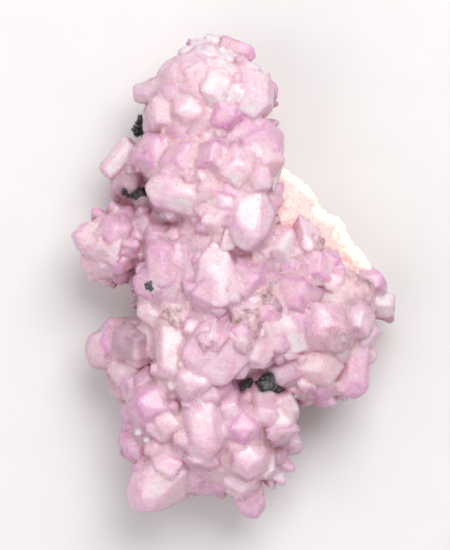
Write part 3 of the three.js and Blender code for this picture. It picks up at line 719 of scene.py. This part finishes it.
def grown_together(name, shapes, onto=None):
    """One closed mesh of many crystals, without the walls inside it."""
    heap = bpy.data.collections.new(name)
    made = []
    if onto:
        bpy.context.scene.collection.objects.unlink(onto)
        made.append(onto)
    for number, (points, faces, layers) in enumerate(shapes):
        part = mesh_of(f"{name}_{number}", points, faces)
        bpy.context.scene.collection.objects.unlink(part)
        for label, values in layers.items():
            float_attribute(part.data, label, values)
        made.append(part)
    bpy.context.scene.collection.objects.link(made[0])
    for part in made[1:]:
        heap.objects.link(part)
    join = made[0].modifiers.new("join", "BOOLEAN")
    join.operation, join.solver = "UNION", "MANIFOLD"
    join.operand_type, join.collection = "COLLECTION", heap
    applied(made[0])
    for part in made[1:]:
        bpy.data.objects.remove(part)
    bpy.data.collections.remove(heap)
    made[0].name = made[0].data.name = name
    return made[0]


def even_layers(count, rim, milk, smoke):
    """The paint layers of a shape that is the same all over."""
    shares = {"rim": rim, "milk": milk, "smoke": smoke, "stain": 0, "along": 0}
    return {label: np.full(count, float(share)) for label, share in shares.items()}


def core_shape(lump):
    """One rounded, uneven lump of the calcite behind the crystals."""
    ways, faces = NETS[4]
    centre, radii = np.array(lump[:3]), np.array(lump[3:])
    points = centre + ways * radii
    points += ways * (0.7 * ripple(points, 4, seed=11))[:, None]
    return points, faces, even_layers(len(points), 0.35, 0.15, 0.1)


def root_shape(row, number):
    """The rounded calcite round a crystal's foot, which fills the valleys beside it."""
    x, y, z, heading, tilt, length, width = row[:7]
    axis = crystal_frame(heading, tilt)[2]
    ways, faces = NETS[3]
    centre = np.array([x, y, z]) - axis * min(0.75 * length, width)
    points = centre + ways * width * ROOT_SIZE
    points += ways * (0.35 * ripple(points, 3, seed=number + 300))[:, None]
    milk, smoke = TINTS[row[9]][1:3]
    return points, faces, even_layers(len(points), 0.3, 0.1 + 0.5 * min(milk, 1.5), 0.5 * smoke)


shapes = [core_shape(lump) for lump in CORE]
for number, row in enumerate(FRONT):
    if row[6] >= ROOTED_WIDTH:
        shapes.append(root_shape(row, number))
    shapes.append(crystal_shape(row, number, 5 if row[6] >= FINE_WIDTH else 4))
crust = grown_together("crust", shapes)

# The valleys between the crystals are filled with fine-grained calcite, up to a little below the
# level of the crystals round them, except over the hollows (x, y, radius), which stayed open.
SKY = 60
FILL_STEP = 0.55
FILL_REACH = 1.6
FILL_SMOOTHING = 0.5
FILL_DEPTH = 0.4
FILL_THICKNESS = 7
OUTSIDE_LEVEL = 6
OPEN_HOLLOWS = [
    (9, -26.2, 4.2), (2.6, -26, 3.4), (-25, 21.5, 3.4), (-23, 37.6, 3.2), (-20.9, -1.9, 1.6),
    (21, -5.5, 2.2), (25.8, -23, 1.6), (0.5, 5, 2.4), (-22.8, -22, 1.8), (-26, 3.5, 1.5),
    (13.5, 19, 4), (17, 14, 4), (22.5, 12.5, 3), (28, 7.5, 3), (16, 24, 3),
]
HOLLOW_DROP = 9


def height_at(tree, x, y):
    """How high the crystals stand at a place on the plan, or None outside their outline."""
    hit = tree.ray_cast(Vector((x, y, SKY)), Vector((0, 0, -1)))[0]
    return hit.z if hit else None


def surface_tree(mesh):
    """A mesh's points, triangles and search tree, in the plan grid's millimetres."""
    points = points_of(mesh)
    faces = np.zeros(len(mesh.loop_triangles) * 3, int)
    mesh.loop_triangles.foreach_get("vertices", faces)
    faces = faces.reshape(-1, 3)
    return points, faces, BVHTree.FromPolygons(points.tolist(), faces.tolist())


def blurred(grid, reach):
    """A height grid smoothed over a reach given in cells."""
    span = np.arange(-int(3 * reach), int(3 * reach) + 1)
    weights = np.exp(-(span**2) / (2 * reach**2))
    weights /= weights.sum()
    for axis in (0, 1):
        padded = np.pad(grid, [(len(span) // 2,) * 2 if a == axis else (0, 0) for a in (0, 1)], mode="edge")
        grid = np.apply_along_axis(np.convolve, axis, padded, weights, mode="valid")
    return grid


def closed_over(grid, reach):
    """A height grid whose valleys narrower than twice the reach, in cells, are filled."""
    span = range(-int(reach), int(reach) + 1)
    disc = [(dy, dx) for dy in span for dx in span if math.hypot(dy, dx) <= reach]
    for pick in (np.maximum, np.minimum):
        widened = grid
        for shift in disc:
            widened = pick(widened, np.roll(grid, shift, (0, 1)))
        grid = widened
    return grid


def hollow_drop(x, y):
    """How far the fill lies below its usual level near an open hollow."""
    drop = 0
    for hx, hy, radius in OPEN_HOLLOWS:
        drop = np.maximum(drop, np.clip(1.6 - np.hypot(x - hx, y - hy) / radius, 0, 0.6) / 0.6)
    return HOLLOW_DROP * drop


def valley_fill(tree, low, high):
    """A closed sheet of fine-grained calcite under the crystals' general level."""
    across = np.arange(low[0] - 3, high[0] + 3, FILL_STEP)
    along = np.arange(low[1] - 3, high[1] + 3, FILL_STEP)
    found = [[height_at(tree, x, y) for x in across] for y in along]
    level = np.array([[OUTSIDE_LEVEL if h is None else h for h in line] for line in found], float)
    inside = blurred(np.array([[h is not None for h in line] for line in found], float), 1.5) > 0.93
    x, y = np.meshgrid(across, along)
    top = blurred(closed_over(level, FILL_REACH / FILL_STEP), FILL_SMOOTHING / FILL_STEP)
    top -= FILL_DEPTH + hollow_drop(x, y)
    places = np.column_stack([x.ravel(), y.ravel(), top.ravel()])
    places[:, 2] += 0.22 * ripple(places, 3.2, seed=31) + 0.08 * ripple(places, 1.5, seed=32)
    cell = inside[:-1, :-1] & inside[1:, :-1] & inside[:-1, 1:] & inside[1:, 1:]
    points, quads = thick_sheet(places, x.shape, cell & ~lone_corners(cell))
    # Painted shade: the fill's grey smoke darkens the valleys that it fills.
    return points, quads, even_layers(len(points), 0.12, 0, 0.12)


def thick_sheet(places, shape, cell):
    """A closed sheet over the chosen cells of a grid of places, as thick as the fill."""
    count = len(places)
    number = np.arange(count).reshape(shape)
    a, b = number[:-1, :-1][cell], number[:-1, 1:][cell]
    c, d = number[1:, 1:][cell], number[1:, :-1][cell]
    sheet = np.column_stack([a, b, c, d])
    edges = np.vstack([sheet[:, [k, (k + 1) % 4]] for k in range(4)])
    known = set(map(tuple, edges))
    rim = np.array([e for e in known if (e[1], e[0]) not in known])
    walls = np.column_stack([rim[:, 1], rim[:, 0], rim[:, 0] + count, rim[:, 1] + count])
    points = np.vstack([places, places - (0, 0, FILL_THICKNESS)])
    used, quads = np.unique(np.vstack([sheet, sheet[:, ::-1] + count, walls]), return_inverse=True)
    return points[used], quads.reshape(-1, 4)


def lone_corners(cell):
    """Cells that touch another only at a corner, which a closed sheet can't have."""
    wide = np.pad(cell, 1)
    lone = np.zeros_like(wide)
    for dy, dx in ((1, 1), (1, -1)):
        other = np.roll(wide, (dy, dx), (0, 1))
        beside = np.roll(wide, dy, 0) | np.roll(wide, dx, 1)
        lone |= wide & other & ~beside
    return lone[1:-1, 1:-1]


low, high = (np.array(c) / MM + BOX_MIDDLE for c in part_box("pink_calcite_crystals"))
fill = valley_fill(surface_tree(crust.data)[2], low, high)
fill_tree = BVHTree.FromPolygons(fill[0].tolist(), fill[1].tolist())
crust = grown_together("crust_and_fill", [fill], onto=crust)

# Later crystals. Low heads stand a little out of the fill, and others cover the flanks: how far
# apart they stand, their least and most width, how closed in their spot is at least, and how many
# spots are tried.
LOW_HEADS = {"apart": 5.2, "least": 5.5, "most": 8.5, "tries": 5000}
HEAD_ROOM = 1.3
HEAD_LEAN = 0.22
FLANK_CRYSTALS = [
    {"apart": 4.8, "least": 4.0, "most": 6.0, "closed": 0.34, "tries": 2200},
    {"apart": 4.2, "least": 2.0, "most": 3.2, "closed": 0.36, "tries": 1300},
]
GOLDEN_TURN = 2.399963
SHELTER_RAYS, SHELTER_REACH = 14, 7
# Flank crystals grow above this level, from faces that aren't nearly level or very small, and
# their tips stay this far below their neighbours.
LOWEST_INFILL = 4.5
LEVEL_FACE = 0.75
LEAST_AREA = 1e-4
BELOW_NEIGHBOURS = 0.8
# Their length, and how far they stand out, as shares of their width.
FLANK_LENGTH, FLANK_REACH = 1.5, 0.42
# The dusk tint among these is painted shade.
LATER_TINTS = ("pink", "mauve", "pink", "dusk", "lilac")


def hemisphere(normal, count):
    """Directions spread over the half-space that a surface faces."""
    turns = np.arange(count) * GOLDEN_TURN
    rise = (np.arange(count) + 0.5) / count
    ring = np.sqrt(1 - rise**2)
    ways = np.stack([ring * np.cos(turns), ring * np.sin(turns), rise], axis=1)
    turn = Vector((0, 0, 1)).rotation_difference(normal)
    return [turn @ Vector(way) for way in ways]


def shelter(tree, point, normal):
    """How much of the space over a point other crystals close in, from 0 to 1."""
    start = point + normal * 0.15
    rays = hemisphere(normal, SHELTER_RAYS)
    return sum(tree.ray_cast(start, way, SHELTER_REACH)[0] is not None for way in rays) / len(rays)


def row_along(tip, axis, length, width, spin, salt, habits=("rhomb", "nail", "rhomb", "dome")):
    """A crystal's row from its tip and the way that it points."""
    heading = math.degrees(math.atan2(axis[1], axis[0]))
    tilt = math.degrees(math.asin(axis[2]))
    habit = habits[int(spin) % len(habits)]
    return (*tip, heading, tilt, length, width, habit, spin, LATER_TINTS[(int(spin) + salt) % 5])


def low_head_rows(tree, fill_tree, seed, apart, least, most, tries):
    """Rows of crystals whose heads stand a little out of the fill, where it shows."""
    rng = np.random.default_rng(seed)
    spots, rows = np.empty((0, 2)), []
    for _ in range(tries):
        x, y = rng.uniform(low[0], high[0]), rng.uniform(low[1], high[1])
        lean = rng.normal(size=2) * HEAD_LEAN
        size, spin, rise = rng.random(), 120 * rng.random(), rng.random()
        if len(spots) and np.hypot(*(spots - (x, y)).T).min() < apart:
            continue
        filled = height_at(fill_tree, x, y)
        if not shows_fill(tree, fill_tree, x, y) or hollow_drop(x, y) > 0:
            continue
        width = least + (most - least) * size
        axis = np.array([lean[0] + x / 90, lean[1] + y / 120, 1.0])
        axis /= np.linalg.norm(axis)
        tip = np.array([x, y, filled + 0.25 + 0.5 * rise])
        if not fits_in(tree, tip, width, 0.2):
            continue
        spots = np.vstack([spots, (x, y)])
        rows.append(row_along(tip, axis, 1.1 * width, width, spin, len(rows), ("low",)))
    return rows


def shows_fill(tree, fill_tree, x, y):
    """Whether the fill shows at a place and a little way round it."""
    for a in (0.4, 2.0, 3.5, 5.1):
        at = (x + HEAD_ROOM * math.cos(a), y + HEAD_ROOM * math.sin(a))
        there, filled = height_at(tree, *at), height_at(fill_tree, *at)
        if there is None or filled is None or there > filled + 0.25:
            return False
    return True


def fits_in(tree, tip, width, below):
    """Whether a tip stays inside the outline and below the crystals around it."""
    reach = 0.6 * width
    ring = [height_at(tree, tip[0] + reach * math.cos(a), tip[1] + reach * math.sin(a)) for a in range(6)]
    return None not in ring and tip[2] < max(ring) - below


def flank_rows(mesh, seed, apart, least, most, closed, tries):
    """Rows of crystals that grew where others close them in, tips up and out."""
    points, faces, tree = surface_tree(mesh)
    corners = points[faces]
    cross = np.cross(corners[:, 1] - corners[:, 0], corners[:, 2] - corners[:, 0])
    area = np.linalg.norm(cross, axis=1) / 2
    rng = np.random.default_rng(seed)
    chosen = rng.choice(len(faces), size=tries, p=area / area.sum())
    spots, rows = np.empty((0, 3)), []
    for face in chosen:
        share = rng.dirichlet((1, 1, 1))
        lean, size, spin = rng.normal(size=3) * 0.3, rng.random(), 120 * rng.random()
        point = share @ corners[face]
        if point[2] < LOWEST_INFILL or area[face] < LEAST_AREA or hollow_drop(*point[:2]) > 0:
            continue
        if len(spots) and np.linalg.norm(spots - point, axis=1).min() < apart:
            continue
        normal = Vector(cross[face] / (2 * area[face]))
        if normal.z > LEVEL_FACE or shelter(tree, Vector(point), normal) < closed:
            continue
        axis = 0.7 * np.array(normal) + lean + (0, 0, 0.6)
        axis /= np.linalg.norm(axis)
        width = least + (most - least) * size
        tip = point + axis * width * FLANK_REACH
        root = tip - axis * FLANK_LENGTH * width
        buried = height_at(tree, root[0], root[1])
        if not fits_in(tree, tip, width, BELOW_NEIGHBOURS) or buried is None or buried < root[2] + width / 2:
            continue
        spots = np.vstack([spots, point])
        rows.append(row_along(tip, axis, FLANK_LENGTH * width, width, spin, len(rows)))
    return rows


rows = low_head_rows(surface_tree(crust.data)[2], fill_tree, 17, **LOW_HEADS)
shapes = [crystal_shape(row, 4000 + n, 4) for n, row in enumerate(rows)]
crystals = grown_together("headed", shapes, onto=crust)
for stage, measures in enumerate(FLANK_CRYSTALS):
    rows = flank_rows(crystals.data, 11 + stage, **measures)
    shapes = [crystal_shape(row, 5000 + 1000 * stage + n, 3 - stage) for n, row in enumerate(rows)]
    crystals = grown_together("pink_calcite", shapes, onto=crystals)
put_points(crystals.data, np.clip(points_of(crystals.data), low, high))

HOLLOW_RAYS, HOLLOW_REACH = 12, 13
SHARP_ANGLE = math.radians(34)


def hollow_shade(mesh):
    """How deep each point lies between its neighbours, from 0 to 1: the mask of the painted shade in the
    hollows.
    """
    points, faces, tree = surface_tree(mesh)
    flat = np.zeros(len(points) * 3)
    mesh.vertex_normals.foreach_get("vector", flat)
    fan = np.array([way[:] for way in hemisphere(Vector((0, 0, 1)), HOLLOW_RAYS)])
    closed = np.zeros(len(points))
    for number, (point, normal) in enumerate(zip(points, flat.reshape(-1, 3))):
        ways = fan + 1.2 * normal
        start = Vector(point + 0.2 * normal)
        closed[number] = sum(tree.ray_cast(start, Vector(way), HOLLOW_REACH)[0] is not None for way in ways)
    return closed / HOLLOW_RAYS


float_attribute(crystals.data, "hollow", hollow_shade(crystals.data))
crystals.data.shade_smooth()
crystals.data.set_sharp_from_angle(angle=SHARP_ANGLE)


# The crystals' colours. A pair holds the two ends of the fine mottling.
PINK = ((0.84, 0.50, 0.64, 1), (0.95, 0.73, 0.84, 1))
PEACHY_PINK = ((0.89, 0.54, 0.60, 1), (0.99, 0.77, 0.80, 1))
LILAC = ((0.68, 0.31, 0.57, 1), (0.86, 0.52, 0.74, 1))
MILK, FROST, SUGAR = (1.0, 0.87, 0.915, 1), (1.0, 0.97, 0.98, 1), (1.0, 0.93, 0.96, 1)
# The lit edge colour is a painted highlight along the crystals' edges, and the hollow pink is painted shade.
PAINTED_EDGE_HIGHLIGHT, PAINTED_HOLLOW_SHADE = (0.97, 0.72, 0.93, 1), (0.80, 0.44, 0.53, 1)
# The smoke colour serves both real smoky grey and painted shade.
SMOKE_AND_SHADE, BROWN = (0.46, 0.31, 0.39, 1), (0.33, 0.21, 0.18, 1)
GROWTH_LINES, LINE_WANDER = 9000.0, 22
WORN_EDGE = 0.001


def growth_lines(tree, clouds):
    """Fine lines across a crystal's axis, from -1 to 1, that wander with the clouds in it."""
    steps = calculated(tree, "MULTIPLY", attribute(tree, "along"), GROWTH_LINES)
    wavy = calculated(tree, "ADD", steps, ranged(tree, clouds, 0, 1, 0, LINE_WANDER))
    return calculated(tree, "SINE", wavy)


def milky_colour(tree, where, mottle, clouds, lines):
    """The pink heart of a crystal with its milk, frost and sugary flecks."""
    peachy = ranged(tree, noise(tree, where, 75.0, 2.0), 0.41, 0.56)
    deep, pale = (mixed(tree, peachy, *pair) for pair in zip(PINK, PEACHY_PINK))
    lined = ranged(tree, lines, -0.2, 0.9, 0.93, 1.05)
    milky = calculated(tree, "MULTIPLY", attribute(tree, "milk"), lined)
    milk = calculated(tree, "ADD", milky, ranged(tree, clouds, 0.48, 0.68, 0.0, 0.4))
    colour = mixed(tree, milk, mixed(tree, mottle, deep, pale), MILK)
    colour = mixed(tree, ranged(tree, milk, 0.9, 2.0, 0.0, 0.9), colour, FROST)
    flecks = ranged(tree, noise(tree, where, 1700.0, 2.0), 0.54, 0.66, 0.0, 0.65)
    return mixed(tree, flecks, colour, SUGAR)


def zoned_highlit_and_shaded_colour(tree, colour, mottle, worn):
    """A colour with the lilac outer zone, a painted highlight along its edges and painted shade, a deeper
    pink, in the hollows.
    """
    rim = attribute(tree, "rim")
    colour = mixed(tree, rim, colour, mixed(tree, mottle, *LILAC))
    flat = node(tree, "NewGeometry").outputs["Normal"]
    along_face = node(tree, "VectorMath", {0: worn, 1: flat}, operation="DOT_PRODUCT").outputs["Value"]
    # Painted highlight: where the worn normal leaves the face, along the lilac edges, the colour turns
    # paler.
    edge_highlight = ranged(tree, along_face, 1.0, 0.94, 0.0, 0.55)
    colour = mixed(tree, calculated(tree, "MULTIPLY", rim, edge_highlight), colour, PAINTED_EDGE_HIGHLIGHT)
    # Painted shade: points closed in by their neighbours turn a deeper pink.
    hollow = ranged(tree, attribute(tree, "hollow"), 0.08, 0.65, 0.0, 0.85)
    return mixed(tree, hollow, colour, PAINTED_HOLLOW_SHADE)


def stained_and_shaded_colour(tree, where, colour, clouds, lines):
    """A colour with grey smoke, partly painted shade, and with the brown lamellae near some tips."""
    haze = ranged(tree, clouds, 0.52, 0.36, 0.0, 0.18)
    colour = mixed(tree, calculated(tree, "ADD", attribute(tree, "smoke"), haze), colour, SMOKE_AND_SHADE)
    streaked = ranged(tree, noise(tree, where, 520.0, 4.0), 0.36, 0.64, 0.1, 1.0)
    striped = ranged(tree, lines, -0.9, 0.6, 0.6, 1.0)
    lamellae = calculated(tree, "MULTIPLY", streaked, striped)
    return mixed(tree, calculated(tree, "MULTIPLY", attribute(tree, "stain"), lamellae), colour, BROWN)


def crystal_material():
    """Pale calcite with a milky heart, a clearer lilac outside and slightly worn edges, its colour with
    painted highlights along the edges and painted shade.
    """
    material, tree, surface = new_material("pink_calcite")
    grain = node(tree, "Group", {
        "Grains per metre": 1500.0, "Smoothest": 0.24, "Roughest": 0.5,
    }, node_tree=GRAIN)
    mottle = grain.outputs["Mottle"]
    where = node(tree, "TexCoord").outputs["Object"]
    clouds = noise(tree, where, 330.0, 5.0, 0.7)
    lines = growth_lines(tree, clouds)
    worn = node(tree, "Bevel", {"Radius": WORN_EDGE}, samples=4).outputs["Normal"]
    colour = milky_colour(tree, where, mottle, clouds, lines)
    colour = zoned_highlit_and_shaded_colour(tree, colour, mottle, worn)
    stepped = bumped(tree, 0.06, 0.0003, lines, Normal=worn)
    waved = bumped(tree, 0.3, 0.0012, noise(tree, where, 450.0, 2.0), Normal=stepped)
    set_inputs(tree, surface, {
        "Base Color": stained_and_shaded_colour(tree, where, colour, clouds, lines),
        "Roughness": grain.outputs["Roughness"],
        "Normal": bumped(tree, 0.4, 0.0004, mottle, Normal=waved),
        "Subsurface Weight": 1.0,
        "Subsurface Radius": (1.0, 0.55, 0.7),
        "Subsurface Scale": 0.0025,
        "Transmission Weight": 0.38,
        "Coat Weight": 0.3,
        "Coat Roughness": 0.08,
        "IOR": CALCITE_IOR,
    })
    return material


crystals.data.materials.append(crystal_material())
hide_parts("pink_calcite_crystals")
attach(crystals, "root")

# ---------------------------------------------------------------- Arsenopyrite
# Dark grey metallic patches in the hollows between the crystals. Each is a clump of small striated
# rhombic prisms with chisel ends, tarnished nearly black, that the last calcite grew round.
PATCHES = {
    "arsenopyrite_main_hollow": [
        (10, -25, 25, 5.2, 20, 35), (8.2, -26.5, 25, 4.6, 75, 20), (10.6, -26.7, 24.8, 4, 140, 50),
        (7.1, -28.3, 25, 3.1, 10, 60), (8.7, -24.7, 24.5, 3.6, 100, 30),
    ],
    "arsenopyrite_small_hollow": [(2.9, -26.9, 24, 2.7, 40, 40), (3.7, -26.2, 23.8, 2, 110, 20)],
    "arsenopyrite_left_hollow": [
        (-26.8, 22.7, 15, 3.6, 0, 30), (-24.9, 21.8, 14.8, 3.6, 60, 55), (-23, 20.6, 15.4, 4.2, 25, 20),
        (-21.4, 19.4, 15, 3.4, 95, 40),
    ],
    "arsenopyrite_upper_notch": [
        (-22.8, 39, 15, 3.6, 30, 30), (-23.9, 37.1, 14, 3, 80, 45), (-22, 36.9, 15, 3.6, 150, 25),
    ],
    "arsenopyrite_middle_grain": [(-20.9, -1.9, 31.4, 2.1, 15, 50)],
}
GRAIN_ANGLE = 56
GRAIN_CHISEL = 40
GRAIN_SIDE, GRAIN_END = 0.36, 0.42
GRAIN_ROUNDING = 26
SMALL_GRAINS = 34
SMALL_LEAST, SMALL_MOST = 0.7, 1.7
COVER = (0.28, 0.46)
TARNISH = ((0.035, 0.036, 0.035, 1), (0.23, 0.24, 0.235, 1))


def grain_faces(length):
    """Normals and distances of a rhombic prism's sides and of the chisel edge at both ends."""
    ways, reaches = [], []
    for side in (0, 180):
        for turn in (-GRAIN_ANGLE, GRAIN_ANGLE):
            ways.append(face_way(90 + side + turn, 90))
            reaches.append(GRAIN_SIDE * length)
        for end in (GRAIN_CHISEL, 180 - GRAIN_CHISEL):
            ways.append(face_way(side, end))
            reaches.append(GRAIN_END * length)
    return np.array(ways), np.array(reaches)


def arsenopyrite_grain(x, y, z, length, spin, lean, detail):
    """A stout grain with its edges a little worn."""
    normals, reaches = grain_faces(length)
    ways, faces = NETS[detail]
    share = np.clip(ways @ normals.T / reaches, 1e-6, None)
    local = ways * ((share**GRAIN_ROUNDING).sum(axis=1) ** (-1 / GRAIN_ROUNDING))[:, None]
    s, t = math.radians(spin), math.radians(lean)
    about_z = np.array([[math.cos(s), -math.sin(s), 0], [math.sin(s), math.cos(s), 0], [0, 0, 1]])
    about_x = np.array([[1, 0, 0], [0, math.cos(t), -math.sin(t)], [0, math.sin(t), math.cos(t)]])
    return np.array([x, y, z]) + local @ (about_z @ about_x).T, faces, {}


def clump(grains, seed):
    """The large grains of a patch and the small ones that grew over them."""
    rng = np.random.default_rng(seed)
    shapes = []
    for grain in grains:
        shapes.append(arsenopyrite_grain(*grain, detail=3))
        for _ in range(SMALL_GRAINS):
            way = rng.normal(size=3)
            way[2] = abs(way[2])
            way /= np.linalg.norm(way)
            spot = np.array(grain[:3]) + way * grain[3] * rng.uniform(*COVER)
            size = rng.uniform(SMALL_LEAST, SMALL_MOST)
            shapes.append(arsenopyrite_grain(*spot, size, 180 * rng.random(), 90 * rng.random(), detail=2))
    return shapes


def arsenopyrite_material():
    """Dark tarnished metal with small brighter facets."""
    material, tree, surface = new_material("arsenopyrite")
    grain = node(tree, "Group", {
        "Grains per metre": 2600.0, "Bump": 0.55, "Smoothest": 0.22, "Roughest": 0.55,
    }, node_tree=GRAIN)
    set_inputs(tree, surface, {
        "Base Color": mixed(tree, grain.outputs["Mottle"], *TARNISH),
        "Roughness": grain.outputs["Roughness"],
        "Normal": grain.outputs["Normal"],
        "Metallic": 0.85,
    })
    return material


arsenopyrite = arsenopyrite_material()
for number, (name, grains) in enumerate(PATCHES.items()):
    patch = grown_together(name.replace("arsenopyrite", "grains"), clump(grains, 40 + number))
    patch.data.materials.append(arsenopyrite)
    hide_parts(name)
    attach(patch, "root")

# ---------------------------------------------------------------- Floor, light and camera
# A plain pale floor under the specimen, soft studio light from the front and upper right, and a
# camera that looks straight down on the crystal face through a long lens.
FLOOR_SIZE = 3.0
floor = mesh_of("floor", np.array([
    (-FLOOR_SIZE, -FLOOR_SIZE, 0), (FLOOR_SIZE, -FLOOR_SIZE, 0),
    (FLOOR_SIZE, FLOOR_SIZE, 0), (-FLOOR_SIZE, FLOOR_SIZE, 0),
]) / MM, [(0, 1, 2, 3)])
floor_material, tree, surface = new_material("floor")
paper = node(tree, "TexNoise", {"Scale": 400.0, "Detail": 3.0})
tint = mixed(tree, paper.outputs["Fac"], (0.60, 0.59, 0.59, 1), (0.64, 0.63, 0.63, 1))
set_inputs(tree, surface, {"Base Color": tint, "Roughness": 0.9})
floor.data.materials.append(floor_material)

VIEW_HEIGHT = 0.1375
VIEW_MIDDLE = (-0.002125, 0.000475)
VIEW_LEVEL = 0.02
CAMERA_HEIGHT = 0.9
camera = bpy.data.objects.new("camera", bpy.data.cameras.new("camera"))
bpy.context.scene.collection.objects.link(camera)
camera.location = (*VIEW_MIDDLE, CAMERA_HEIGHT)
camera.data.lens = camera.data.sensor_width * (CAMERA_HEIGHT - VIEW_LEVEL) / VIEW_HEIGHT
camera.data.clip_start, camera.data.clip_end = 0.05, 20
bpy.context.scene.camera = camera


def soft_light(name, place, size, power, colour):
    """A square area light that faces the specimen."""
    light = bpy.data.lights.new(name, "AREA")
    light.size, light.energy, light.color = size, power, colour
    thing = bpy.data.objects.new(name, light)
    thing.location = place
    thing.rotation_euler = (-thing.location).to_track_quat("-Z", "Y").to_euler()
    bpy.context.scene.collection.objects.link(thing)


soft_light("key", (0.2, 0.45, 0.75), 0.6, 8.2, (1.0, 0.98, 0.97))
soft_light("fill", (-0.5, -0.3, 0.7), 0.8, 3.2, (1.0, 0.98, 0.99))
bpy.context.scene.view_settings.view_transform = "Standard"
world = bpy.data.worlds.new("studio")
bpy.context.scene.world = world
world.use_nodes = True
studio = world.node_tree.nodes["Background"]
set_inputs(world.node_tree, studio, {"Color": (1.0, 0.98, 0.99, 1), "Strength": 0.57})
